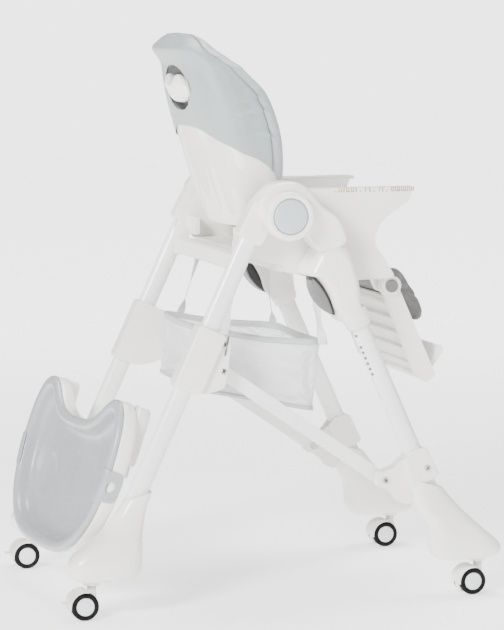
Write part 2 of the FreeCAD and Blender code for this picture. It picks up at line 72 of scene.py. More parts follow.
def add(tree, kind, **values):
    """Adds a node. Capitalised names are its inputs (a socket is linked, a value is set), others settings."""
    node = tree.nodes.new("ShaderNode" + kind)
    for name, value in values.items():
        if not name[0].isupper():
            setattr(node, name, value)
            continue
        socket = node.inputs[name.replace("_", " ")]
        if isinstance(value, bpy.types.NodeSocket):
            tree.links.new(value, socket)
        else:
            socket.default_value = value
    return node


def begin(name, **plain):
    """A new material with its shader and its position in metres. plain are fixed values of the shader's sockets."""
    material = bpy.data.materials.new(name)
    material.use_nodes = True
    shader = material.node_tree.nodes["Principled BSDF"]
    for socket, value in plain.items():
        shader.inputs[socket.replace("_", " ")].default_value = value
    return material, shader, add(material.node_tree, "TexCoord").outputs["Object"]


def feed(node, **outputs):
    """Links outputs to the node's sockets of those names."""
    for name, output in outputs.items():
        output.id_data.links.new(output, node.inputs[name.replace("_", " ")])


def spots(where, scale, detail=2.0, roughness=0.5):
    noise = add(where.id_data, "TexNoise", Vector=where, Scale=scale, Detail=detail, Roughness=roughness)
    return noise.outputs["Fac"]


def between(fac, low, high, colours):
    """A colour ramp from the first colour at low to the second at high."""
    ramp = add(fac.id_data, "ValToRGB", Fac=fac)
    for stop, position, colour in zip(ramp.color_ramp.elements, (low, high), colours):
        stop.position = position
        stop.color = linear(colour)
    return ramp.outputs["Color"]


def spread(fac, low, high):
    """The 0 to 1 pattern fac stretched to low..high."""
    return add(fac.id_data, "MapRange", Value=fac, To_Min=low, To_Max=high).outputs["Result"]


def bump(height, distance, strength=1.0, under=None):
    node = add(height.id_data, "Bump", Height=height, Distance=distance, Strength=strength)
    if under is not None:
        feed(node, Normal=under)
    return node.outputs["Normal"]


def darkened(colour, fac, tint):
    """colour multiplied by tint where fac is 1."""
    mix = add(fac.id_data, "Mix", data_type="RGBA", blend_type="MULTIPLY", Factor=fac)
    feed(mix, A=colour)
    mix.inputs["B"].default_value = tint
    return mix.outputs["Result"]


def moulded(name, colour, shade, rough=0.32, coat=0.0, grain=0.00006, edge=0.0012):
    """Injection-moulded plastic: faint uneven colour, satin patches, a fine spark-eroded grain, softened edges."""
    material, shader, where = begin(name, Coat_Weight=coat, Coat_Roughness=0.12, Specular_IOR_Level=0.45)
    rounded = add(material.node_tree, "Bevel", Radius=edge).outputs["Normal"]
    flow = bump(spots(where, 45.0), 0.0004, 0.35, rounded)
    feed(shader, Base_Color=between(spots(where, 7.0, 3.0), 0.3, 0.7, (shade, colour)),
         Roughness=spread(spots(where, 34.0, 4.0), rough - 0.07, rough + 0.09),
         Normal=bump(spots(where, 1700.0, 3.0), grain, 0.6, flow))
    return material


def painted_tube(name, colour, shade):
    """Powder-coated steel tube under a clear, slightly orange-peeled gloss."""
    material, shader, where = begin(name, Coat_Weight=0.45, Coat_Roughness=0.08)
    peel = bump(spots(where, 420.0), 0.0001, 0.5)
    feed(shader, Base_Color=between(spots(where, 5.0), 0.3, 0.7, (shade, colour)),
         Roughness=spread(spots(where, 60.0, 3.0), 0.22, 0.34),
         Normal=bump(spots(where, 2600.0), 0.00003, 0.4, peel))
    return material


def leather(name, colour, shade, rough=0.42):
    """Coated leather cloth: pebbled grain with darker valleys, soft creases and a low satin shine."""
    material, shader, where = begin(name, Coat_Weight=0.12, Coat_Roughness=0.35, Sheen_Weight=0.08)
    tree = material.node_tree
    wobble = add(tree, "VectorMath", operation="MULTIPLY_ADD")
    tree.links.new(add(tree, "TexNoise", Vector=where, Scale=240.0).outputs["Color"], wobble.inputs[0])
    wobble.inputs[1].default_value = (0.0016, 0.0016, 0.0016)
    tree.links.new(where, wobble.inputs[2])
    pebbles = add(tree, "TexVoronoi", Vector=wobble.outputs["Vector"], Scale=620.0, feature="DISTANCE_TO_EDGE")
    valleys = add(tree, "MapRange", Value=pebbles.outputs["Distance"], From_Max=0.22).outputs["Result"]
    worn = between(spots(where, 9.0, 4.0), 0.3, 0.72, (shade, colour))
    crease = bump(spots(where, 30.0, 5.0, 0.6), 0.0022, 0.4)
    feed(shader, Base_Color=darkened(worn, spread(valleys, 0.35, 0.0), (0.72, 0.74, 0.75, 1)),
         Roughness=spread(spots(where, 28.0, 3.0), rough - 0.07, rough + 0.12),
         Normal=bump(valleys, 0.00018, 0.7, crease))
    return material


def threads(where, pitch, angle):
    """Ridges a pitch apart, square to a direction in the XZ plane that leans by angle."""
    tree = where.id_data
    turned = add(tree, "Mapping", Vector=where, Rotation=(0.0, angle, 0.0)).outputs["Vector"]
    wave = add(tree, "TexWave", Vector=turned, Scale=math.pi / (10 * pitch), Distortion=0.25, Detail=1.0)
    wave.bands_direction = "DIAGONAL" if angle else "Z"
    return wave.outputs["Fac"]


def woven(name, colour, shade, pitch, rough=0.85, crumple=0.0012, backing=0.0):
    """Plain-weave cloth or webbing: crossed threads a pitch apart, with a fuzzy sheen and soft crumpling."""
    material, shader, where = begin(name, Sheen_Weight=0.3, Sheen_Roughness=0.5, Roughness=rough,
                                    Subsurface_Weight=backing, Subsurface_Radius=(0.004, 0.003, 0.0025))
    crossing = add(material.node_tree, "Math", operation="MULTIPLY")
    for socket, angle in zip(crossing.inputs, (0.0, 0.7)):
        material.node_tree.links.new(threads(where, pitch, angle), socket)
    weave = crossing.outputs[0]
    patches = between(spots(where, 14.0, 4.0), 0.3, 0.7, (shade, colour))
    soft = bump(spots(where, 22.0, 4.0), crumple, 0.5)
    feed(shader, Base_Color=darkened(patches, spread(weave, 0.25, 0.0), (0.8, 0.79, 0.77, 1)),
         Normal=bump(weave, pitch * 0.25, 0.6, soft))
    return material


def netting(name, colour, shade, hole=0.0016, closed=0.62):
    """Sheer polyester net: small round holes in rows, see-through where the holes are."""
    material, shader, where = begin(name, Roughness=0.7, Sheen_Weight=0.2)
    cells = add(where.id_data, "TexVoronoi", Vector=where, Scale=1.0 / hole, Randomness=0.25).outputs["Distance"]
    holes = add(where.id_data, "MapRange", Value=cells, From_Min=0.28, From_Max=0.42, To_Min=closed - 0.34,
                To_Max=0.97)
    feed(shader, Alpha=holes.outputs["Result"],
         Base_Color=between(spots(where, 12.0, 3.0), 0.3, 0.7, (shade, colour)),
         Normal=bump(cells, 0.0003, 0.5))
    return material


def brushed_steel(name, colour, shade):
    """Turned steel with fine streaks."""
    material, shader, where = begin(name, Metallic=1.0)
    streaks = add(where.id_data, "Mapping", Vector=where, Scale=(1.0, 1.0, 12.0)).outputs["Vector"]
    feed(shader, Base_Color=between(spots(where, 300.0), 0.3, 0.7, (shade, colour)),
         Roughness=spread(spots(streaks, 400.0, 3.0), 0.22, 0.42),
         Normal=bump(spots(streaks, 900.0), 0.00004, 0.5))
    return material


def rubber(name, colour, dust):
    """Black tread rubber, greyer where dust holds, with fine pitting."""
    material, shader, where = begin(name, Specular_IOR_Level=0.15)
    feed(shader, Base_Color=between(spots(where, 90.0, 5.0), 0.35, 0.8, (colour, dust)),
         Roughness=spread(spots(where, 60.0, 3.0), 0.42, 0.68),
         Normal=bump(spots(where, 1500.0, 3.0), 0.00012, 0.6))
    return material


# The floor shines more far from the chair, so that its rim melts into the backdrop
FLOOR_GLOW, FAR_GLOW = 1.15, 3.3
GLOW_STARTS, GLOW_ENDS = 0.7, 4.5  # metres from the chair's middle


def floor_paint(name):
    """Pale paper on a light table."""
    material, shader, where = begin(name, Emission_Color=(1, 1, 1, 1))
    tree = material.node_tree
    far = add(tree, "VectorMath", operation="LENGTH")
    tree.links.new(where, far.inputs[0])
    glow = add(tree, "MapRange", interpolation_type="SMOOTHSTEP", Value=far.outputs["Value"],
               From_Min=GLOW_STARTS, From_Max=GLOW_ENDS, To_Min=FLOOR_GLOW, To_Max=FAR_GLOW)
    feed(shader, Emission_Strength=glow.outputs["Result"],
         Base_Color=between(spots(where, 1.5), 0.3, 0.7, ("f4f4f3", "f8f8f8")),
         Roughness=spread(spots(where, 4.0), 0.6, 0.75))
    return material


PLASTIC = moulded("white_plastic", "f3f1ec", "ebe8e2")
GLOSSY = moulded("white_gloss_plastic", "f5f3ef", "edeae5", rough=0.24, coat=0.25, grain=0.00002)
TUBE = painted_tube("white_tube", "f2f3f1", "ebecea")
LEATHER = leather("grey_leather", "9ba5a4", "919b9a")
LEATHER_BAND = leather("grey_leather_band", "abb3b5", "a2abad")
LEATHER_DARK = leather("calf_leather", "6f6c6b", "656261")
# The seam thread's dark grey is partly its own colour and partly painted shade of the sewn groove.
SEAM_THREAD_AND_SHADE = woven("seam_thread_and_shade", "6f7a7a", "5d6767", 0.0012)
DRAPE = woven("white_cloth", "efebe5", "e5e0d9", 0.0007, backing=0.15)
WEBBING = woven("white_webbing", "ecebee", "e0dfe2", 0.0011, crumple=0.0004)
WEBBING_GREY = woven("grey_webbing", "c3c8c8", "b5bbbb", 0.0011, crumple=0.0004)
BINDING = woven("grey_binding", "c6cccd", "bac1c2", 0.0009, crumple=0.0008)
NET = netting("white_net", "f0f0f4", "dfdfe4")
BUTTON = moulded("blue_grey_plastic", "bac2c7", "b2bbc0", rough=0.4, grain=0.00012)
DARK = moulded("dark_grey_plastic", "6e6d6c", "636261", rough=0.38, grain=0.00012)
# Charcoal for the handle's recess: painted shade in the hood's window.
CHARCOAL_RECESS_SHADE = moulded("charcoal_recess_shade", "4b4c4c", "414242", rough=0.5)
# Black for pieces that are painted shade in gaps and recesses, not any part's own colour.
BLACK_PAINTED_SHADE = moulded("black_painted_shade", "2b2b2b", "232323", rough=0.5)
TRAY_GREY = moulded("tray_grey_plastic", "a4a7aa", "9da0a3", rough=0.26, coat=0.2, grain=0.00002)
# Tan for the armrest slots: warm painted shade inside them.
TAN_SLOT_SHADE = moulded("tan_slot_shade", "c7a873", "b99a66", rough=0.55)
STEEL = brushed_steel("screw_steel", "d4d4d2", "a8a8a6")
RUBBER = rubber("tyre_rubber", "060606", "141414")
CAP_WHITE = moulded("caster_cap_plastic", "e6e7ea", "dddee2", rough=0.3)


# ---------------------------------------------------------------- mesh helpers

def piece(name, points, faces, material, body, slot, smooth=True):
    """A mesh object from points in metres, riding on a CAD body."""
    mesh = bpy.data.meshes.new(name)
    mesh.from_pydata([tuple(p) for p in points], [], faces)
    mesh.validate()
    mesh.materials.append(material)
    mesh.polygons.foreach_set("use_smooth", [smooth] * len(mesh.polygons))
    made = bpy.data.objects.new(name, mesh)
    bpy.context.scene.collection.objects.link(made)
    outward(made)
    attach(made, body)
    return made


def outward(made):
    shape = bmesh.new()
    shape.from_mesh(made.data)
    bmesh.ops.recalc_face_normals(shape, faces=shape.faces)
    shape.to_mesh(made.data)
    shape.free()


def skin(rings, closed=True, start_cap=False, end_cap=False, first=0):
    """Faces between rings of equal length, numbered from first. A cap is one face over an end ring."""
    count = len(rings[0])
    faces = []
    for r in range(len(rings) - 1):
        for i in range(count if closed else count - 1):
            j = (i + 1) % count
            a, b = first + r * count, first + (r + 1) * count
            faces.append((a + i, a + j, b + j, b + i))
    if start_cap:
        faces.append(tuple(first + i for i in range(count)))
    if end_cap:
        faces.append(tuple(first + (len(rings) - 1) * count + i for i in range(count)))
    return faces


def shell(name, rings, material, body, slot, **ends):
    """A piece skinned over rings; ends are skin's closed, start_cap and end_cap."""
    return piece(name, sum(rings, []), skin(rings, **ends), material, body, slot)


def solid(name, rings, material, body, slot):
    return shell(name, rings, material, body, slot, start_cap=True, end_cap=True)


def turn_by(count):
    """count angles evenly round a circle."""
    return [2 * math.pi * n / count for n in range(count)]


def between_four(p0, p1, p2, p3, f):
    """Catmull-Rom: the point at f of the way from p1 to p2."""
    return 0.5 * (2 * p1 + (p2 - p0) * f + (2 * p0 - 5 * p1 + 4 * p2 - p3) * f ** 2
                  + (3 * p1 - p0 - 3 * p2 + p3) * f ** 3)


def through(stops, t):
    """A smooth curve through stops, tuples of numbers evenly spaced over t = 0..1."""
    last = len(stops) - 1
    s = min(max(t, 0.0), 1.0) * last
    i = min(int(s), last - 1)
    near = [np.array(stops[min(max(k, 0), last)], float) for k in range(i - 1, i + 3)]
    return between_four(*near, s - i)


def by_first(stops, value):
    """The same curve, asked by the first number of each stop, which rises."""
    firsts = [s[0] for s in stops]
    return through(stops, float(np.interp(value, firsts, np.linspace(0, 1, len(stops)))))


def around(stops, t):
    """A smooth closed curve through stops."""
    count = len(stops)
    s = (t % 1.0) * count
    i = int(s)
    near = [np.array(stops[(i + k) % count], float) for k in (-1, 0, 1, 2)]
    return between_four(*near, s - i)


def squircle(angle, half_x, half_y, power):
    """A point of a rounded rectangle: power 2 is an ellipse, and more is squarer."""
    c, s = math.cos(angle), math.sin(angle)
    return half_x * math.copysign(abs(c) ** (2 / power), c), half_y * math.copysign(abs(s) ** (2 / power), s)


def bell(x, centre, width):
    return math.exp(-((x - centre) / width) ** 2)


def outline_ring(outline, middle, y, share, count, move=(0, 0)):
    """A ring at y: a closed (x, z) outline drawn in towards its middle to share of its size, then moved."""
    (mx, mz), (dx, dz) = middle, move
    return [place(mx + (x - mx) * share + dx, y, mz + (z - mz) * share + dz)
            for x, z in (around(outline, n / count) for n in range(count))]


def prism(section, heights, first=0):
    """Points and faces of an (x, z) section carried from one y to another, numbered from first."""
    points = [place(x, y, z) for y in heights for x, z in section]
    return points, skin([section, section], start_cap=True, end_cap=True, first=first)


def modify(made, kind, **settings):
    modifier = made.modifiers.new(kind.title(), kind)
    for key, value in settings.items():
        setattr(modifier, key, value)
    return modifier


def subdivide(made, render=1):
    modify(made, "SUBSURF", levels=1, render_levels=render)


def bake(made):
    """Turns the modifiers' result into the piece's own mesh."""
    bpy.context.view_layer.update()
    result = bpy.data.meshes.new_from_object(made.evaluated_get(bpy.context.evaluated_depsgraph_get()))
    made.modifiers.clear()
    made.data = result


def paint(node_names, material):
    for name in node_names:
        node = NODES[name]
        node.data.materials.clear()
        node.data.materials.append(material)


def sides_of(*names):
    return [name + "_" + side for name in names for side, _ in SIDES]


# ---------------------------------------------------------------- camera, floor and light

LIT_BY_WORLD, SEEN_WORLD = 0.25, 3.6  # the backdrop is brighter than the room
CAMERA_AT, CAMERA_AIM = Vector((-1.5007, -4.8616, 1.0855)), Vector((0.012, 0.0, 0.5033))
CAMERA_LENS = 156.1
FLOOR_HALF = 14.0


def make_stage():
    """The camera at the photographed angle, and a plain pale floor."""
    camera = bpy.data.objects.new("camera", bpy.data.cameras.new("camera"))
    camera.data.lens = CAMERA_LENS
    camera.location = CAMERA_AT
    camera.rotation_euler = (CAMERA_AIM - CAMERA_AT).to_track_quat("-Z", "Y").to_euler()
    bpy.context.scene.collection.objects.link(camera)
    bpy.context.scene.camera = camera
    mesh = bpy.data.meshes.new("floor")
    corners = [(x * FLOOR_HALF, y * FLOOR_HALF, 0) for x, y in ((-1, -1), (1, -1), (1, 1), (-1, 1))]
    mesh.from_pydata(corners, [], [(0, 1, 2, 3)])
    mesh.materials.append(floor_paint("floor_paint"))
    floor = bpy.data.objects.new("floor", mesh)
    bpy.context.scene.collection.objects.link(floor)


LIGHTS_AIM = (0, 0, 0.5)


def softbox(name, where, size, power):
    lamp = bpy.data.lights.new(name, "AREA")
    lamp.shape, lamp.size, lamp.energy = "SQUARE", size, power
    box = bpy.data.objects.new(name, lamp)
    box.location = where
    box.rotation_euler = (Vector(LIGHTS_AIM) - Vector(where)).to_track_quat("-Z", "Y").to_euler()
    bpy.context.scene.collection.objects.link(box)


def make_light():
    world = bpy.data.worlds.new("studio")
    world.use_nodes = True
    tree = world.node_tree
    background = tree.nodes["Background"]
    background.inputs["Color"].default_value = (1, 1, 1, 1)
    feed(background, Strength=spread(add(tree, "LightPath").outputs["Is Camera Ray"], LIT_BY_WORLD, SEEN_WORLD))
    bpy.context.scene.world = world
    softbox("key", (-3.4, -2.9, 2.7), 1.3, 480)
    softbox("fill", (3.2, -3.0, 1.2), 2.2, 60)
    softbox("top", (0.6, 0.6, 3.4), 1.8, 170)


# ---------------------------------------------------------------- carried-over CAD nodes

def paint_nodes():
    """Every CAD node gets its material, whether or not another piece stands for it."""
    paint(NODES, PLASTIC)
    paint(sides_of("front_leg_tube", "rear_leg_tube", "link_bar"), TUBE)
    paint(sides_of("front_connector", "seat_carriage", "front_foot", "rear_foot"), GLOSSY)
    paint(sides_of("fold_button"), BUTTON)
    paint(sides_of("height_lever") + ["footrest_pins"], DARK)
    paint(["front_frame_fasteners", "front_caster_stems", "rear_caster_stems"], STEEL)
    paint(sides_of("collar_fasteners"), STEEL)
    paint(["tray_insert"], TRAY_GREY)
    for corner in ("front", "rear"):
        paint(sides_of("caster_tyres_" + corner), RUBBER)
        paint(sides_of("caster_rims_" + corner), CAP_WHITE)


# ---------------------------------------------------------------- back: hood, cloth, liner and handle

# The bucket back at rising heights: (z, rear x, front x, half width).
BACK = [(680, -66, 5, 110), (705, -76, 8, 122), (745, -88, 11, 150), (800, -104, 11, 163),
        (860, -121, 3, 164), (925, -138, -21, 157), (972, -147, -62, 138), (992, -149.5, -90, 122),
        (1006, -150, -108, 106), (1017, -148, -117, 94), (1024, -146, -125, 81), (1028, -143, -130, 62)]
CROWN = 1028.0
# The hood's lower hem as (x, z), falling from the middle of the rear to the front of each wing
HEM = [(-126, 862), (-117, 854), (-108, 842), (-99, 833), (-70, 819), (-42, 806), (-18, 793), (-4, 778),
       (6, 765), (20, 752)]
PUCKERS = (850, 896, 921)  # heights at which the hood's side seam is gathered
BAND_ROLL = 26.0
WINDOW_Z, WINDOW_HALF_Y, WINDOW_HALF_Z = 930, 74, 42  # the oval opening for the recline handle
REAR_POINTS = 14  # the section's points up to this one belong to its rear, the rest to its side


def back_section(z, grow, roll):
    """Half of the back's U at height z as (x, y), from mid-rear round the corner to the wing's rolled edge."""
    rear, front, half = by_first(BACK, z)[1:]
    bow = min(0.13 * half, 0.2 * (front - rear))
    flare = 15 * bell(z, 1002, 17)
    rear, front, half = rear - grow - flare, front + grow, half + grow + 0.3 * flare
    corner = min(36.0, 0.42 * (front - rear - bow))
    roll = min(roll, 0.4 * (front - rear - bow))
    points = [(0.0, (half - corner) * k / 8) for k in range(9)]
    for k in range(1, 7):
        a = math.pi / 2 * k / 6
        points.append((corner * (1 - math.cos(a)), half - corner * (1 - math.sin(a))))
    points = [(rear + x + bow * (y / half) ** 2, y) for x, y in points]
    start, stop = rear + bow + corner, front - roll
    points += [(start + (stop - start) * k / 10, half) for k in range(1, 11)]
    for k in range(1, 7):
        a = math.pi / 2 * k / 6
        points.append((stop + roll * math.sin(a), half - 0.66 * roll * (1 - math.cos(a))))
    edge = points[-1][1]
    return points + [(front - 2, edge - 4), (front - 9, edge - 6), (front - 0.6 * roll, edge - 6)]


SEAM_INDEX = 24  # the section's point where the side panel meets the front band
SECTION_POINTS = len(back_section(800, 0, 20))


def hem_height(x):
    return by_first(HEM, x)[1] + 1.1 * math.sin(x / 8.5)


def back_rows(count, grow, low, high):
    """Rows of the whole U, right to left, rising from low(x) to high at each of the half section's points."""
    bottoms = []
    for i in range(SECTION_POINTS):
        z = 840.0
        for _ in range(4):
            z = low(back_section(z, grow, BAND_ROLL)[i][0])
        bottoms.append(z)
    rows = []
    for r in range(count + 1):
        half = []
        for i, bottom in enumerate(bottoms):
            z = bottom + (high - bottom) * r / count
            x, y = back_section(z, grow, BAND_ROLL)[i]
            droop = 2.2 * max((z - 1004) / 24, 0) ** 2 * min((y / 82) ** 2, 1.4)
            half.append((x, y, z - droop))
        rows.append([(x, -y, z) for x, y, z in reversed(half[1:])] + half)
    return rows


def in_window(y, z, margin=0.0):
    return (y / (WINDOW_HALF_Y + margin)) ** 2 + ((z - WINDOW_Z) / (WINDOW_HALF_Z + margin)) ** 2 < 1


def hood_relief(u_index, z):
    """How far the hood's leather stands out: padded panels, gathers running back from the seam, and the seam."""
    from_seam = u_index - SEAM_INDEX
    relief = 1.6 * math.sin(math.pi * min(max((z - 780) / 240, 0), 1))
    for n, height in enumerate(PUCKERS):
        drift = z - height - (1.1 + 0.5 * n) * from_seam - 1.2 * math.sin(from_seam * 0.9 + n)
        reach = math.exp(-max(-from_seam, 0) / 7.0) * math.exp(-max(from_seam, 0) / 2.5)
        relief += reach * (3.8 * bell(drift, 6.5, 5) - 6.6 * bell(drift, -1, 2.4))
    welts = 1.0 * bell(from_seam, 2, 1.4) + 0.8 * bell(from_seam, -2, 1.4)
    return relief + welts - 2.6 * bell(from_seam, 0, 0.6)


def make_hood():
    """The grey leather hood over the top of the back, with a lighter band sewn round its front edge."""
    rows = back_rows(96, 4.2, hem_height, CROWN)
    seam_rows = len(rows) + 1
    crown = rows[-1]
    for k in range(1, 6):
        a = math.pi / 2 * k / 5
        rows.append([((x + 139) * math.cos(a) - 139, y * (1 - 0.5 * (1 - math.cos(a))), z + 3 * math.sin(a))
                     for x, y, z in crown])
    width, middle = len(rows[0]), SECTION_POINTS - 1
    points, faces, bands = [], [], []
    for row in rows:
        for i, (x, y, z) in enumerate(row):
            step = abs(i - middle)
            out = hood_relief(step, z) if z < CROWN else 0.0
            if step <= REAR_POINTS:
                x -= out
            else:
                y += math.copysign(out, i - middle)
            if in_window(y, z, 9) and x < -90:
                x += 3.5 * (1 - math.hypot(y / (WINDOW_HALF_Y + 9), (z - WINDOW_Z) / (WINDOW_HALF_Z + 9)))
            points.append(place(x, y, z))
    for r in range(len(rows) - 1):
        for i in range(width - 1):
            corners = [rows[r + dr][i + di] for dr, di in ((0, 0), (0, 1), (1, 1), (1, 0))]
            if all(in_window(y, z) and x < -90 for x, y, z in corners):
                continue
            a, b = r * width, (r + 1) * width
            faces.append((a + i, a + i + 1, b + i + 1, b + i))
            bands.append(abs(i + 0.5 - middle) > SEAM_INDEX)
    for side, sign in SIDES:
        line = [points[r * width + middle + sign * SEAM_INDEX] for r in range(seam_rows)]
        make_seam("hood_seam_" + side, line, sign)
    hood = piece("back_hood", points, faces, LEATHER, "back", "grey_leather")
    hood.data.materials.append(LEATHER_BAND)
    hood.data.polygons.foreach_set("material_index", [int(b) for b in bands])
    smooth_window(hood)
    modify(hood, "SOLIDIFY", thickness=0.0016, offset=-1.0)
    subdivide(hood)
    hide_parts("back_cover")


def make_seam(name, line, sign):
    """The dark stitched line between the hood's side panel and its front band: its dark grey is partly the thread's
    own colour and partly painted shade of the seam's groove.
    """
    rings = []
    for n, (x, y, z) in enumerate(line):
        out = sign * (1.5 + 0.25 * math.sin(2.1 * n)) * MM
        rings.append([(x + dx * MM, y + out + sign * dy * MM, z)
                      for dx, dy in ((-1.1, 0), (-0.6, 0.55), (0.6, 0.55), (1.1, 0))])
    solid(name, rings, SEAM_THREAD_AND_SHADE, "back", "grey_leather")


def smooth_window(hood):
    """Moves the ragged border of the handle window onto its oval."""
    shape = bmesh.new()
    shape.from_mesh(hood.data)
    for v in shape.verts:
        y, z = v.co.y / MM, v.co.z / MM - WINDOW_Z
        on_border = any(len(e.link_faces) == 1 for e in v.link_edges)
        far = math.hypot(y / WINDOW_HALF_Y, z / WINDOW_HALF_Z)
        if on_border and 0.5 < far < 1.5 and v.co.x < -0.085:
            v.co.y, v.co.z = y / far * MM, (WINDOW_Z + z / far) * MM
    shape.to_mesh(hood.data)
    shape.free()


# The recess behind the handle: (depth, share of the window's size)
TUB = ((-1.0, 1.08), (-1.0, 1.0), (4.0, 0.96), (8.0, 0.88), (9.5, 0.6), (10.0, 0.02))


def make_window_tub():
    """The recess behind the recline handle, coloured charcoal: painted shade in the window round the handle, over
    the recess's own grey.
    """
    rings = []
    for depth, share in TUB:
        ring = []
        for a in turn_by(64):
            y = (WINDOW_HALF_Y + 3) * share * math.cos(a)
            z = WINDOW_Z + (WINDOW_HALF_Z + 2) * share * math.sin(a)
            ring.append(place(by_first(BACK, z)[1] + 1.5 + depth, y, z))
        rings.append(ring)
    tub = shell("handle_tub", rings, CHARCOAL_RECESS_SHADE, "back", "dark_grey_plastic", end_cap=True)
    modify(tub, "SOLIDIFY", thickness=0.001)


GRIP_HALF, GRIP_X, GRIP_Z = 64, -141, 928
GRIP_TOP, GRIP_BOTTOM = 946, 903.5
GRIP_LEAN = -0.27  # the grip leans back with the shell


def make_recline_handle():
    """The white squeeze handle: a bulging grip with raised shoulders and a dip for the fingers on top."""
    columns = 30
    rings = []
    for k in range(columns + 1):
        share = -math.cos(math.pi * k / columns)
        y = GRIP_HALF * share
        swell = max(1 - abs(share) ** 3.2, 0.0) ** 0.5
        top = GRIP_TOP + 11 * bell(y, 33, 21) + 11 * bell(y, -33, 21)
        bottom = GRIP_BOTTOM + 3 * (y / GRIP_HALF) ** 2
        middle, tall = (top + bottom) / 2, (top - bottom) / 2 * swell + 0.3
        ring = []
        for a in turn_by(40):
            dx, dz = squircle(a, 12.5 * swell + 0.4, tall, 2.4)
            lean = GRIP_LEAN * (middle + dz - GRIP_Z)
            brow = 3.0 * bell(dz, 0.3 * tall, 7) if dx < 0 else 0.0
            ring.append(place(GRIP_X + dx + lean - brow + 6 * (y / GRIP_HALF) ** 2, y, middle + dz))
        rings.append(ring)
    grip = solid("recline_grip", rings, GLOSSY, "recline_handle", "white_plastic")
    subdivide(grip)
    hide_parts("recline_handle")


def make_drape():
    """White lining cloth gathered into soft vertical folds below the hood."""
    count, bottom, top = 56, 683.0, 868.0
    rows = back_rows(count, 1.4, lambda x: bottom, top)
    middle = SECTION_POINTS - 1
    points = []
    for r, row in enumerate(rows):
        hang = 1 - r / count
        for i, (x, y, z) in enumerate(row):
            along = math.hypot(y, 0.9 * (x + 100))
            wide_fold = math.sin(along / 7.5 + 1.4 * math.sin(y / 41) + hang)
            fold = wide_fold + 0.45 * math.sin(along / 3.4 + y / 13)
            below = min(max((hem_height(x) - z) / 14, 0), 1)
            depth = below * (2.2 + 3.4 * hang) * (0.7 + 0.3 * math.sin(z / 37))
            sag = 0.8 + depth * max(0.5 + 0.5 * fold, 0) ** 1.3
            step = abs(i - middle)
            gather = 5 * hang * hang * (1 if step <= REAR_POINTS else 0.3)
            if step <= REAR_POINTS:
                x += gather - sag
            else:
                y += math.copysign(sag - gather, y)
            points.append(place(x, y, z))
    drape = piece("back_drape", points, skin(rows, closed=False), DRAPE, "back", "soft_white")
    subdivide(drape, 2)


def puffed(name, node, body, material, cap, voxel, shrink, groove):
    """A stuffed cushion in a CAD solid's place: remeshed, blown up as cloth, then sewn in by groove(x, y, z)."""
    mesh = NODES[node].data.copy()
    pad = bpy.data.objects.new(name, mesh)
    bpy.context.scene.collection.objects.link(pad)
    modify(pad, "REMESH", mode="VOXEL", voxel_size=voxel)
    modify(pad, "DISPLACE", strength=-shrink, mid_level=0.0)
    bake(pad)
    inflate(pad, cap)
    subdivide(pad)
    modify(pad, "SMOOTH", factor=0.6, iterations=4)
    bake(pad)
    for v, normal in zip(pad.data.vertices, [v.normal.copy() for v in pad.data.vertices]):
        v.co -= normal * groove(v.co.x / MM - SHIFT_X, v.co.y / MM, v.co.z / MM) * MM
    pad.data.materials.clear()
    pad.data.materials.append(material)
    pad.data.polygons.foreach_set("use_smooth", [True] * len(pad.data.polygons))
    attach(pad, body)
    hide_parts(node)


PUFF_FRAMES = 20


def inflate(pad, cap):
    """Blows the mesh up with cloth pressure, and keeps each point within cap metres of where it started."""
    start = [v.co.copy() for v in pad.data.vertices]
    cloth = modify(pad, "CLOTH")
    cloth.settings.use_pressure = True
    cloth.settings.uniform_pressure_force = 4.0
    cloth.settings.effector_weights.gravity = 0.0
    cloth.settings.quality = 5
    cloth.point_cache.frame_start, cloth.point_cache.frame_end = 1, PUFF_FRAMES
    for moment in range(1, PUFF_FRAMES + 1):
        bpy.context.scene.frame_set(moment)
    bake(pad)
    bpy.context.scene.frame_set(1)
    for v, home in zip(pad.data.vertices, start):
        moved = v.co - home
        if moved.length > cap:
            v.co = home + moved.normalized() * cap


def quilt(value, pitch, depth):
    """A sewn channel at every multiple of pitch."""
    off = (value + pitch / 2) % pitch - pitch / 2
    return depth * bell(off, 0, 3.0)


def liner_groove(x, y, z):
    """Level channels up the back's middle, between two upright seams."""
    sewn = quilt(z - 742, 58, 3.0) if abs(y) < 96 else 0.0
    return sewn + 2.6 * bell(abs(y), 97, 3.0)


def seat_groove(x, y, z):
    """Channels across the seat's top, between two seams."""
    if z < 622:
        return 0.0
    sewn = quilt(x - 28, 46, 2.6) if abs(y) < 88 else 0.0
    return sewn + 2.4 * bell(abs(y), 89, 2.6)


def calf_groove(x, y, z):
    """One channel across the sloping pad, between two seams."""
    return 2.0 * bell(z + 0.45 * (x - 262), 556, 3.0) + 1.6 * bell(abs(y), 84, 2.6)


def make_cushions():
    """The padded leather parts; cap, voxel and shrink are in metres."""
    puffed("back_liner", "back_cushion", "back", LEATHER_BAND, cap=0.004, voxel=0.006,
           shrink=0.003, groove=liner_groove)
    puffed("seat_pad", "seat_cushion", "seat", LEATHER, cap=0.006, voxel=0.005,
           shrink=0.003, groove=seat_groove)
    puffed("calf_cushion", "calf_pad", "footrest", LEATHER_DARK, cap=0.012, voxel=0.005,
           shrink=0.0008, groove=calf_groove)


# ---------------------------------------------------------------- harness

RIBBON_SECTION = ((-1, -1), (-0.5, -1.05), (0, -1.1), (0.5, -1.05), (1, -1),
                  (1, 1), (0.5, 1.05), (0, 1.1), (-0.5, 1.05), (-1, 1))


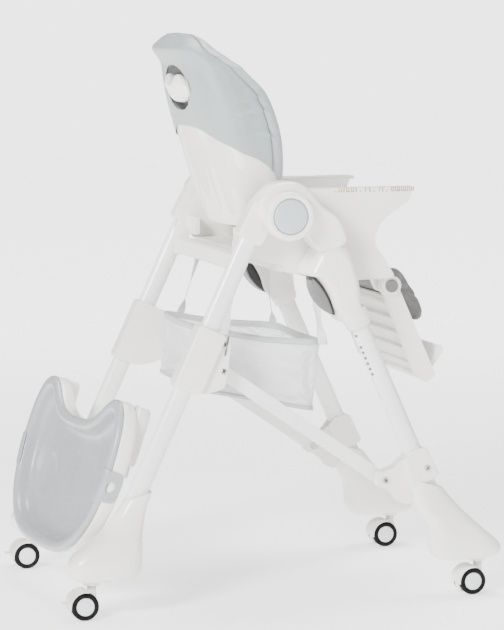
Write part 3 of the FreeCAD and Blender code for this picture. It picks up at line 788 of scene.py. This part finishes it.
def ribbon(centres, across, width, thick):
    """Rings of a flat strap: centres and across are matching lists of points and width directions."""
    rings = []
    for k, (centre, side) in enumerate(zip(centres, across)):
        ahead = centres[min(k + 1, len(centres) - 1)] - centres[max(k - 1, 0)]
        side = side.normalized()
        out = ahead.cross(side).normalized()
        rings.append([centre + side * (sx * width / 2) + out * (sz * thick / 2)
                      for sx, sz in RIBBON_SECTION])
    return rings


def strap(name, stops, sides, width, thick, material, slot):
    """A strap on the seat that runs smoothly through stops, turning its width through sides."""
    steps = 28
    centres = [place(*through(stops, k / steps)) for k in range(steps + 1)]
    across = [Vector(through(sides, k / steps)) for k in range(steps + 1)]
    rings = ribbon(centres, across, width * MM, thick * MM)
    return solid(name, rings, material, "seat", slot)


def moulding(name, centre, sizes, material, slot, power):
    """A softly rounded block on the seat: a squircle outline in YZ, domed along X."""
    rings = []
    for k in range(9):
        a = math.pi * k / 8
        share = math.sin(a) ** 0.3 if 0 < k < 8 else 0.72
        offset = -sizes[0] / 2 * math.cos(a)
        ring = []
        for around_x in turn_by(48):
            dy, dz = squircle(around_x, sizes[1] / 2 * share, sizes[2] / 2 * share, power)
            ring.append(place(centre[0] + offset, centre[1] + dy, centre[2] + dz))
        rings.append(ring)
    made = solid(name, rings, material, "seat", slot)
    modify(made, "BEVEL", width=0.0008, segments=2, limit_method="ANGLE")


def make_harness():
    """Waist straps and a crotch strap that meet in a squeeze buckle above the seat pad."""
    crotch = strap("harness_crotch_strap", [(112, 0, 637.6), (96, 0, 638.6), (80, 0, 641), (68, 0, 650)],
                   [(0, 1, 0)] * 4, 30, 1.6, WEBBING_GREY, "strap_grey")
    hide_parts("harness")
    for side, sign in SIDES:
        strap("harness_waist_strap_" + side,
              [(60, sign * 20, 664), (60, sign * 42, 661), (56, sign * 70, 650), (48, sign * 96, 640)],
              [(0, 0, 1), (0, 0, 1), (0.3, 0, 1), (0.7, 0, 0.7)], 24, 1.5, WEBBING_GREY, "strap_grey")
    moulding("harness_buckle", (62, 0, 664), (11, 48, 40), DARK, "dark_grey_plastic", power=4.0)
    moulding("harness_buckle_button", (67.2, 0, 664), (3, 20, 18), BUTTON, "light_grey_button", power=2.4)


# ---------------------------------------------------------------- basket

RIM = {"rear": -138, "front": 100, "rear_z": 503, "front_z": 470}
BASE = {"rear": -145, "front": 86, "rear_z": 386, "front_z": 338}
BASKET_HALF = 150
BASKET_COUNT = 144  # points round the bag


def basket_point(angle, t):
    """A point of the bag's wall: t = 0 at the sewn base edge and 1 at the rim."""
    rear, front = (RIM[k] * t + BASE[k] * (1 - t) for k in ("rear", "front"))
    c, s = squircle(angle, (front - rear) / 2 - 1.5, BASKET_HALF - 1.5 - 2.5 * math.sin(math.pi * t), 9)
    x = (rear + front) / 2 + c
    forward = (x - rear) / (front - rear)
    low = BASE["rear_z"] + (BASE["front_z"] - BASE["rear_z"]) * forward
    high = RIM["rear_z"] + (RIM["front_z"] - RIM["rear_z"]) * forward
    droop = 5.5 * math.sin(math.pi * forward) ** 2 + 3.0 * math.cos(s / BASKET_HALF * math.pi / 2) ** 2
    z = low + (high - droop * t - low) * t
    slack = 1.6 * math.sin(angle * 11 + 3 * t) * math.sin(math.pi * t) + 1.2 * math.sin(angle * 7 - 5 * t)
    inward = 1 - slack / BASKET_HALF - 0.012 * math.sin(math.pi * t)
    return ((rear + front) / 2 + c * inward, s * inward, z)


def make_basket():
    """A sagging net bag with a grey webbing rim and a bound base edge."""
    rows = 22
    rings = [[place(*basket_point(a, r / rows)) for a in turn_by(BASKET_COUNT)] for r in range(rows + 1)]
    base = rings[0]
    centre = sum(base, Vector()) / BASKET_COUNT
    inner = []
    for n in range(1, 12):
        share = 1 - n / 11.5
        belly = 0.007 * (1 - share ** 2)
        inner.append([centre + (p - centre) * share - Vector((0, 0, belly)) for p in base])
    rings = list(reversed(inner)) + rings
    net = shell("basket_net", rings, NET, "seat", "mesh_white", start_cap=True)
    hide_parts("basket")
    rim = hoop("basket_rim_band", 0.905, 1.0, 1.4, WEBBING_GREY)
    edge = hoop("basket_base_binding", -0.012, 0.05, 1.2, BINDING)


def hoop(name, low, high, proud, material):
    """A band sewn round the bag between two heights, folded over both faces."""
    rings = []
    for t, out in ((low, 0.3), (low, proud), ((low + high) / 2, proud + 0.5), (high, proud), (high, -proud),
                   ((low + high) / 2, -proud - 0.4), (low, -proud)):
        ring = []
        for a in turn_by(BASKET_COUNT):
            x, y, z = basket_point(a, t)
            away = Vector((x + 20, y, 0)).normalized() * out
            ring.append(place(x + away.x, y + away.y, z))
        rings.append(ring)
    return piece(name, sum(rings, []), skin(rings + rings[:1]), material, "seat", "strap_grey")


def make_basket_straps():
    """White tapes that hang the basket from the seat, each given a half turn as it was sewn on."""
    ends = {"rear": ((-58, 124, 634), (-97, 151, 487)), "front": ((74, 149, 584), (93, 151, 462))}
    for end, (top, bottom) in ends.items():
        for side, sign in SIDES:
            stops = []
            for t in (0.0, 0.35, 0.7, 0.88, 1.0):
                x, y, z = (a + (b - a) * t for a, b in zip(top, bottom))
                stops.append((x, sign * (y - 5 * math.sin(math.pi * t)), z))
            turns = [(1, 0, 0), (0.6, sign * 0.8, 0), (0.25, sign * 1, 0), (0.9, sign * 0.4, 0), (1, 0, 0)]
            tape = strap("basket_strap_" + end + "_" + side, stops, turns, 17, 1.1, WEBBING, "strap_white")
            if end == "rear":
                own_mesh(tape)
    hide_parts("basket_straps")


# ---------------------------------------------------------------- moulded covers

# Each foot at rising heights: (z, rear x, front x, inner y, outer y).
FRONT_FOOT = [(68, 292, 384, 208, 262), (70, 284, 396, 203, 266), (77, 277, 407, 199.5, 269),
              (86, 273, 409, 198, 270), (98, 271, 403, 198, 270), (114, 270, 386, 198, 269),
              (132, 266, 366, 198, 265), (150, 254, 348, 198, 259), (170, 246, 330, 197.5, 250),
              (190, 242, 314, 197, 242), (207, 242, 301, 197, 237)]
REAR_FOOT = [(68, -386, -302, 208, 262), (70, -396, -292, 203, 266), (77, -405, -284, 199.5, 269),
             (88, -410, -278, 198, 270), (104, -408, -276, 198, 270), (120, -394, -275, 198, 267),
             (136, -370, -274, 198, 260), (152, -350, -271, 198, 250), (172, -332, -266, 197.5, 242),
             (192, -316, -260, 197, 238), (213, -302, -252, 197, 236)]
SOCKET = ((12.5, 60), (14.2, 60.4), (15, 62), (15.2, 68.5), (18.5, 69.2))  # (radius, z) round the stem


def make_foot(end, levels, lean, side, sign):
    """A foot cover, one smooth skin from its flat sole to the lip round the leg, and the caster's socket."""
    name, body = end + "_foot", end + "_frame"
    steps, count = 44, 72
    rings = []
    for k in range(steps + 1):
        z, x0, x1, y0, y1 = through(levels, k / steps)
        power = 3.6 - 1.3 * k / steps
        ring = []
        for a in turn_by(count):
            dx, dy = squircle(a, (x1 - x0) / 2, (y1 - y0) / 2, power)
            tilt = lean * dx * (k / steps) ** 3
            ring.append(place((x0 + x1) / 2 + dx, sign * ((y0 + y1) / 2 + dy), z + tilt))
        rings.append(ring)
    top = rings[-1]
    middle = sum(top, Vector()) / count
    rings.append([middle + (p - middle) * 0.93 + Vector((0, 0, 0.0012)) for p in top])
    rings.append([middle + (p - middle) * 0.80 - Vector((0, 0, 0.003)) for p in top])
    foot = solid(name + "_shell_" + side, rings, GLOSSY, body, "white_plastic")
    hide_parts(name + "_" + side)
    socket = [[place(CASTER_X[end] + radius * math.cos(a), sign * (CASTER_Y + radius * math.sin(a)), z)
               for a in turn_by(40)] for radius, z in SOCKET]
    shell(name + "_socket_" + side, socket, PLASTIC, body, "white_plastic", start_cap=True)


def make_feet():
    for side, sign in SIDES:
        make_foot("front", FRONT_FOOT, -0.28, side, sign)
        make_foot("rear", REAR_FOOT, 0.28, side, sign)


# The height adjuster's outline seen from the side, as (x, z)
POD = [(56, 650), (74, 662), (96, 664), (116, 649), (130, 620), (140, 588), (145, 555), (147, 534),
       (151, 517), (140, 507), (118, 506), (101, 513), (93, 522), (84, 533), (78, 553), (68, 572),
       (58, 585), (47, 594), (33, 599), (32, 607), (40, 622), (48, 636)]
POD_MIDDLE = (100.0, 590.0)


def make_pods():
    """The glossy height-adjuster housings: a side-view outline swollen like a pebble."""
    steps = 18
    for side, sign in SIDES:
        rings = []
        for k in range(steps + 1):
            a = math.pi / 2 * k / steps
            share = 0.3 + 0.7 * max(math.cos(a), 0.0) ** 0.5
            rings.append(outline_ring(POD, POD_MIDDLE, sign * (179 + 59 * math.sin(a)), share, 90))
        pod = solid("height_pod_" + side, rings, GLOSSY, "seat", "white_plastic")
        subdivide(pod)
        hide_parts("seat_carriage_" + side)
        make_pod_collar(side, sign)


def on_front_leg(s, dx, dy, sign):
    """A point s up the front leg's axis from where it leaves its pod, dx forward of it and dy outwards."""
    lean = FRONT_LEG["lean"]
    return place(FRONT_LEG["x"] + dx * math.cos(lean) + s * math.sin(lean), sign * (LEG_Y + dy),
                 FRONT_LEG["z"] - dx * math.sin(lean) + s * math.cos(lean))


# The collar up the leg: (distance, half depth, half width)
POD_COLLAR = ((-5, 21.4, 16.2), (-4, 22.4, 17.2), (6, 22.8, 17.8), (8, 24.6, 19), (26, 25.2, 19.4),
              (27, 24.4, 18.6))


def make_pod_collar(side, sign):
    """The ring at the pod's lower end that guides it on the front leg."""
    rings = [[on_front_leg(s, *squircle(a, deep, wide, 2.3), sign) for a in turn_by(48)]
             for s, deep, wide in POD_COLLAR]
    solid("pod_collar_" + side, rings, GLOSSY, "seat", "white_plastic")


# ---------------------------------------------------------------- hubs, levers, screws and wheels

def lathe(profile, at, count=72):
    """Rings round an axis along Y at (x, z): profile is (radius, y) from the inside to the outer face."""
    x, z = at
    return [[place(x + radius * math.cos(a), y, z + radius * math.sin(a)) for a in turn_by(count)]
            for radius, y in profile]


HUB = (-7.0, 708.0)
# The housing's outline round the hub and down the front leg's socket, as (x, z), and its middle
HUB_COVER = [(-60, 736), (-43, 757), (-23, 767), (0, 769), (16, 766), (31, 758), (44, 744), (56, 728),
             (72, 716), (92, 702), (106, 682), (111, 660), (100, 648), (78, 643), (58, 641), (44, 655),
             (33, 668), (14, 678), (-8, 680), (-30, 684), (-50, 700), (-60, 718)]
HUB_MIDDLE = (16, 712)
HUB_EDGE = ((198, 3), (199, 1), (202, 0), (239, 0), (244, 1.2), (247.5, 3.6), (249.3, 7), (250, 12))  # (y, inset)
# (radius, y) of the raised disc and of the button in it
DISC = ((44.5, 244), (44.5, 251), (43.8, 251.8), (44, 252.6), (44, 263), (43, 266.2), (40.5, 268), (34.5, 268),
        (32.8, 267), (32.4, 264), (32.2, 259), (14, 258.5))
FOLD_BUTTON = ((31.4, 260), (31.4, 266), (30.6, 268.4), (28.4, 269.2), (21, 269.8), (10, 270.1), (0.3, 270.2))


def make_hubs():
    """The hub covers: a pillow-edged housing, the raised disc on it, and the fold button in the disc."""
    count = 120
    mx, mz = HUB_MIDDLE
    for side, sign in SIDES:
        rings = []
        for y, inset in HUB_EDGE:
            ring = []
            for n in range(count):
                x, z = around(HUB_COVER, n / count)
                share = 1 - inset / math.hypot(x - mx, z - mz)
                low = 15 * min(max((math.hypot(x - HUB[0], z - HUB[1]) - 62) / 50, 0), 1) if y > 202 else 0
                ring.append(place(mx + (x - mx) * share, sign * (y - low), mz + (z - mz) * share))
            rings.append(ring)
        cover = solid("hub_cover_" + side, rings, GLOSSY, "front_frame", "white_plastic")
        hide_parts("front_connector_" + side)
        disc, button = (lathe([(radius, sign * y) for radius, y in profile], HUB)
                        for profile in (DISC, FOLD_BUTTON))
        shell("hub_disc_" + side, disc, GLOSSY, "front_frame", "white_plastic")
        cap = solid("fold_cap_" + side, button, BUTTON, "fold_button_" + side, "light_grey_button")
        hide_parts("fold_button_" + side)


# The squeeze lever's lens outline, as (x, z), and its middle
LEVER = [(47, 592), (46.5, 580), (49.5, 568), (56, 554), (66, 541), (76, 532), (85, 527), (83, 536),
         (76, 554), (66, 571), (57, 583)]
LEVER_MIDDLE = (66, 560)
# (y, share of full size) of the lever and of the black painted shade in the gap round it
LEVER_EDGE = ((188, 0.9), (189.5, 0.98), (192, 1), (224, 1), (227, 0.96), (228.5, 0.84), (229, 0.6))
GAP_EDGE = ((187, 1.0), (190, 1.12), (226, 1.12))


def make_levers():
    """The dark lens-shaped squeeze levers behind the pods, each over a larger, slightly shifted black lens that is
    painted shade in the gap round it.
    """
    for side, sign in SIDES:
        lever = make_lens("squeeze_lever_" + side, LEVER_EDGE, (0, 0), sign, DARK, "height_lever_" + side)
        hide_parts("height_lever_" + side)
        make_lens("lever_gap_shade_" + side, GAP_EDGE, (2.2, 1.6), sign, BLACK_PAINTED_SHADE, "seat")


def make_lens(name, levels, move, sign, material, body):
    """The lever's lens outline at rising (y, share of full size), moved by (x, z)."""
    rings = [outline_ring(LEVER, LEVER_MIDDLE, sign * y, share, 80, move) for y, share in levels]
    return solid(name, rings, material, body, "dark_grey_plastic")


SCREW = 5.6  # the head's radius
SCREW_DOME = ((SCREW, -0.6), (SCREW, 0.7), (SCREW * 0.93, 1.5), (SCREW * 0.6, 2.3), (SCREW * 0.05, 2.6))


def make_screw(name, at, y, sign, body):
    """A domed cross-head screw whose cross recess is a black prism: painted shade in the recess."""
    head = lathe([(radius, sign * (y + rise)) for radius, rise in SCREW_DOME], at, 40)
    screw = shell(name, head, STEEL, body, "steel", end_cap=True)
    x, z = at
    points, faces = [], []
    for turn in (0.5, 0.5 + math.pi / 2):
        c, s = math.cos(turn), math.sin(turn)
        reach, half = SCREW * 0.72, SCREW * 0.15
        corners = [(-reach, -half), (reach, -half), (reach, half), (-reach, half)]
        section = [(x + a * c - b * s, z + a * s + b * c) for a, b in corners]
        arm = prism(section, (sign * (y + 0.5), sign * (y + 2.75)), first=len(points))
        points += arm[0]
        faces += arm[1]
    # The black cross is painted shade inside the screw's recess.
    piece(name + "_recess_shade", points, faces, BLACK_PAINTED_SHADE, body, "steel", smooth=False)
    return screw


def make_screws():
    for side, sign in SIDES:
        upper = make_screw("collar_screw_upper_" + side, (-117, 477), 225, sign, "collar_" + side)
        make_screw("collar_screw_lower_" + side, (-120, 430), 225, sign, "collar_" + side)
        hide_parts("collar_fasteners_" + side)
        # A dark prism in the collar's flange: painted shade in the slit between its two plates.
        slit = [(-119, 458), (-116, 459), (-109, 494), (-112, 493)]
        piece("collar_latch_" + side, *prism(slit, (sign * 224.5, sign * 226.2)), DARK, "collar_" + side,
              "dark_grey_plastic", smooth=False)
        make_screw("bracket_screw_" + side, (268, 237), 232.5, sign, "front_frame")
        make_screw("pivot_screw_" + side, (190, 216), 222.6, sign, "front_frame")


LEG_DEEP, LEG_WIDE = 17.5, 12  # half the oval front leg tube
NOTCHES = (-17, -40, -51, -62, -73, -84, -95)  # along the leg, from where it leaves its pod
NOTCH_ANGLE = 215  # degrees round the tube from its front


def make_leg_notches():
    """The row of dark ticks on the rear outer edge of each front leg, below the pod: painted shade in its height
    notches.
    """
    for side, sign in SIDES:
        for number, s in enumerate(NOTCHES):
            points = []
            for out in (-0.6, 0.7):
                for ds, across in ((-2.6, -1), (-2.6, 1), (2.6, 1), (2.6, -1)):
                    a = math.radians(NOTCH_ANGLE + 9 * across)
                    dx, dy = (LEG_DEEP + out) * math.cos(a), (LEG_WIDE + out) * -math.sin(a)
                    points.append(on_front_leg(s + ds, dx, dy, sign))
            square = [(0, 0)] * 4
            piece(f"leg_notch_{side}_{number + 1}", points, skin([square, square], start_cap=True, end_cap=True),
                  DARK, "front_frame", "dark_grey_plastic", smooth=False)


CASTER_TRAIL, WHEEL_Z = 16, 25.0  # the axle is this far behind the stem, and this high
# Half a wheel pair's tyre and cap: (radius, distance from the caster's middle)
TYRE = ((16.4, 9), (23.5, 9), (24.7, 10.2), (25, 12), (25, 18.4), (24.4, 20.6), (22.6, 22), (19.4, 22.3),
        (17.2, 21.9), (16.3, 20.6))
WHEEL_CAP = ((3.1, 9), (16.3, 9), (16.3, 20.4), (15.7, 21.6), (14.4, 22.3), (12.2, 22.5), (11.8, 22.2),
             (11.4, 22.5), (4, 22.6), (0.3, 22.6))


def twin(profile, at, y, capped):
    """Points and faces of a profile turned round the axle at (x, z), and of its mirror image across y."""
    points, faces = [], []
    for turn in (-1, 1):
        rings = lathe([(radius, y + turn * w) for radius, w in profile], at)
        faces += skin(rings, end_cap=capped, first=len(points))
        points += sum(rings, [])
    return points, faces


def make_wheels():
    """Twin wheels: a rubber tyre with rounded shoulders round a white cap with a shallow ring."""
    for end, stem_x in CASTER_X.items():
        for side, sign in SIDES:
            where, at = end + "_" + side, (stem_x - CASTER_TRAIL, WHEEL_Z)
            tread = piece("tyres_" + where, *twin(TYRE, at, sign * CASTER_Y, False), RUBBER, "wheels_" + where,
                          "tyre_black")
            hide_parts("caster_tyres_" + where)
            discs = piece("wheel_caps_" + where, *twin(WHEEL_CAP, at, sign * CASTER_Y, True), CAP_WHITE,
                          "wheels_" + where, "wheel_white")
            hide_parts("caster_rims_" + where)


SLOT_STARTS = [112 + 4.7 * k for k in range(8)] + [163, 170.5, 190, 196] + [213 + 3.9 * k for k in range(12)]
SLOT_WIDE, SLOT_LOW, SLOT_HIGH = 1.9, 743.2, 751.6


def make_armrest_slots():
    """The locking slots along each armrest's outer edge, where the tray's latches catch, filled with tan: warm
    painted shade inside the slots.
    """
    for side, sign in SIDES:
        points, faces = [], []
        for x in SLOT_STARTS:
            section = [(x, SLOT_LOW), (x + SLOT_WIDE, SLOT_LOW), (x + SLOT_WIDE, SLOT_HIGH), (x, SLOT_HIGH)]
            slot = prism(section, (sign * 177.5, sign * 179.35), first=len(points))
            points += slot[0]
            faces += slot[1]
        piece("armrest_slots_" + side, points, faces, TAN_SLOT_SHADE, "seat", "white_plastic", smooth=False)


# ---------------------------------------------------------------- parked tray

TRAY_AT = (-410.0, 0, 88.0)  # the middle of the rim's lower edge
TRAY_TURN = Matrix.Rotation(math.radians(5.7), 3, "Z") @ Matrix.Rotation(math.radians(18.4), 3, "Y")
# The tray's half outline from its lower middle round a horn to its notch, and where its floor begins
TRAY_EDGE = [(0, 0), (58, 1.5), (112, 9), (162, 31), (201, 68), (224, 112), (234, 160), (235, 205), (230, 246),
             (216, 280), (193, 301), (167, 306), (142, 296), (113, 275), (80, 258), (38, 251), (0, 250)]
TRAY_CORE = [(0, 42), (53, 44), (100, 51), (141, 69), (170, 97), (185, 130), (191, 165), (192, 198), (188, 224),
             (180, 243), (170, 252), (157, 252), (140, 241), (118, 224), (84, 211), (40, 205), (0, 204)]
TRAY_LOOP = [half + [(-x, y) for x, y in reversed(half[1:-1])] for half in (TRAY_EDGE, TRAY_CORE)]
CORE_DEPTH = 45.0  # how far in from the edge the core counts as
TRAY_MIDDLE = (0.0, 112.0)
TRAY_REACH = 107.0  # how far on from the core the middle counts as
DISH_FLOOR, TRAY_BOTTOM = -20.0, -32.0
# (distance in from the edge, height) of the dish's rim and side, and of the moulding's side
DISH = [(3.5, -2.4), (1.2, -1.6), (0.4, 1.0), (1.0, 4.6), (3.2, 7.2), (7, 8.2), (15, 7.9), (19, 6.8),
        (21, 3.6), (22.2, -2), (23.6, -9.5), (25.4, -15.5), (28, -18.8), (32, -19.8), (44, -20.0)]
WALL = [(6, -2.6), (2.2, -2.4), (0.6, -3.4), (0.2, -8), (0.4, -18), (1.6, -25), (4.6, -29.6), (9, -31.6),
        (16, -32), (30, -32), (44, -32)]
LAST_RING = 151.9  # nearly at the middle, where a cap closes the skin
# The grey tab's course over the edge, as (out of it, height), and its middle up the tray's side
LUG = [(-20, 8.6), (-11, 9.0), (-3, 9.0), (2.2, 6.0), (3.6, 0.5), (3.6, -8), (3.4, -18), (2.6, -28)]
LUG_Y = 154
RAIL_X, RAIL_Y = 190, 250
RAIL = ((-31, 2), (-36, 0.6), (-44, 0), (-52, -0.6), (-55, -2.5), (-56, -6))  # (height, growth)


def tray_place(x, y, z):
    """From the tray's own frame (x across, y up its face, z out of its rim) to where it hangs."""
    return place(*TRAY_AT) + TRAY_TURN @ Vector((-z, -x, y)) * MM


def tray_ring(distance, height):
    """The tray's outline drawn in by distance to its core, then to its middle; height may depend on (x, y)."""
    count = 220
    ring = []
    for k in range(count):
        edge, core = (around(loop, k / count) for loop in TRAY_LOOP)
        if distance <= CORE_DEPTH:
            x, y = edge + (core - edge) * distance / CORE_DEPTH
        else:
            share = min((distance - CORE_DEPTH) / TRAY_REACH, 0.995)
            x, y = core + (np.array(TRAY_MIDDLE) - core) * share
        ring.append(tray_place(x, y, height(x, y) if callable(height) else height))
    return ring


def dish_floor(x, y):
    """The height of the dish's floor: a round cup hollow with a soft lip, and a shallow oval plate hollow."""
    cup = math.hypot(x + 118, y - 128)
    plate = math.hypot((x - 40) / 1.35, y - 128)
    hollow = 1.4 / (1 + math.exp((cup - 36) / 2.6)) + 0.7 / (1 + math.exp((plate - 64) / 3.0))
    return DISH_FLOOR - hollow + 0.5 * bell(cup, 41, 4)


def make_tray():
    """The grey dish, the white moulding round and under it, and their tabs and rails."""
    rings = [tray_ring(d, z) for d, z in DISH]
    rings += [tray_ring(d, dish_floor) for d in np.linspace(50, LAST_RING, 30)]
    dish = shell("tray_dish", rings, TRAY_GREY, "tray_insert", "tray_grey", end_cap=True)
    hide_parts("tray_insert")
    modify(dish, "SOLIDIFY", thickness=0.0012, offset=-1.0)
    rings = [tray_ring(d, z) for d, z in WALL] + [tray_ring(d, TRAY_BOTTOM) for d in (70, 100, 130, LAST_RING)]
    body = shell("tray_body", rings, GLOSSY, "tray", "white_plastic", end_cap=True)
    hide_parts("tray_base")
    for side, sign in (("right", 1), ("left", -1)):
        make_tray_lug(side, sign)
        make_tray_bracket(side, sign)


def make_tray_lug(side, sign):
    """The dish's grey tab that wraps over the tray's edge, with an oval grip hole."""
    outer, inner = [], []
    for a in turn_by(64):
        ds, dt = squircle(a, 0.5, 29, 5)
        outer.append((0.5 + ds, dt * (1 + 0.5 * max(0.15 - ds, 0) ** 2)))
        ds, dt = squircle(a, 0.13, 11, 2)
        inner.append((0.70 + ds, dt))
    rings = []
    for share in (0.0, 0.15, 0.3, 0.45, 0.6, 0.75, 0.88, 1.0):
        ring = []
        for (s0, t0), (s1, t1) in zip(outer, inner):
            s, t = s0 + (s1 - s0) * share, t0 + (t1 - t0) * share
            out, up = through(LUG, s)
            y = LUG_Y + t
            edge = float(np.interp(y, (102, 160, 215), (220, 233.5, 234.5)))
            ring.append(tray_place(sign * (edge + out), y, up))
        rings.append(ring)
    lug = shell("tray_lug_" + side, rings, TRAY_GREY, "tray_insert", "tray_grey")
    modify(lug, "SOLIDIFY", thickness=0.0022, offset=0.0)
    subdivide(lug, 2)


def make_tray_bracket(side, sign):
    """The rounded rail housing under the tray."""
    rings = []
    for z, grow in RAIL:
        ring = []
        for a in turn_by(56):
            dx, dy = squircle(a, 15 + grow, 54 + grow, 4.5)
            ring.append(tray_place(sign * RAIL_X + dx, RAIL_Y + dy, z))
        rings.append(ring)
    solid("tray_rail_" + side, rings, PLASTIC, "tray", "white_plastic")


def main():
    make_stage()
    make_light()
    paint_nodes()
    make_hood()
    make_drape()
    make_window_tub()
    make_recline_handle()
    make_cushions()
    make_harness()
    make_basket()
    make_basket_straps()
    make_feet()
    make_pods()
    make_hubs()
    make_levers()
    make_screws()
    make_leg_notches()
    make_wheels()
    make_armrest_slots()
    make_tray()


main()
bpy.context.view_layer.update()
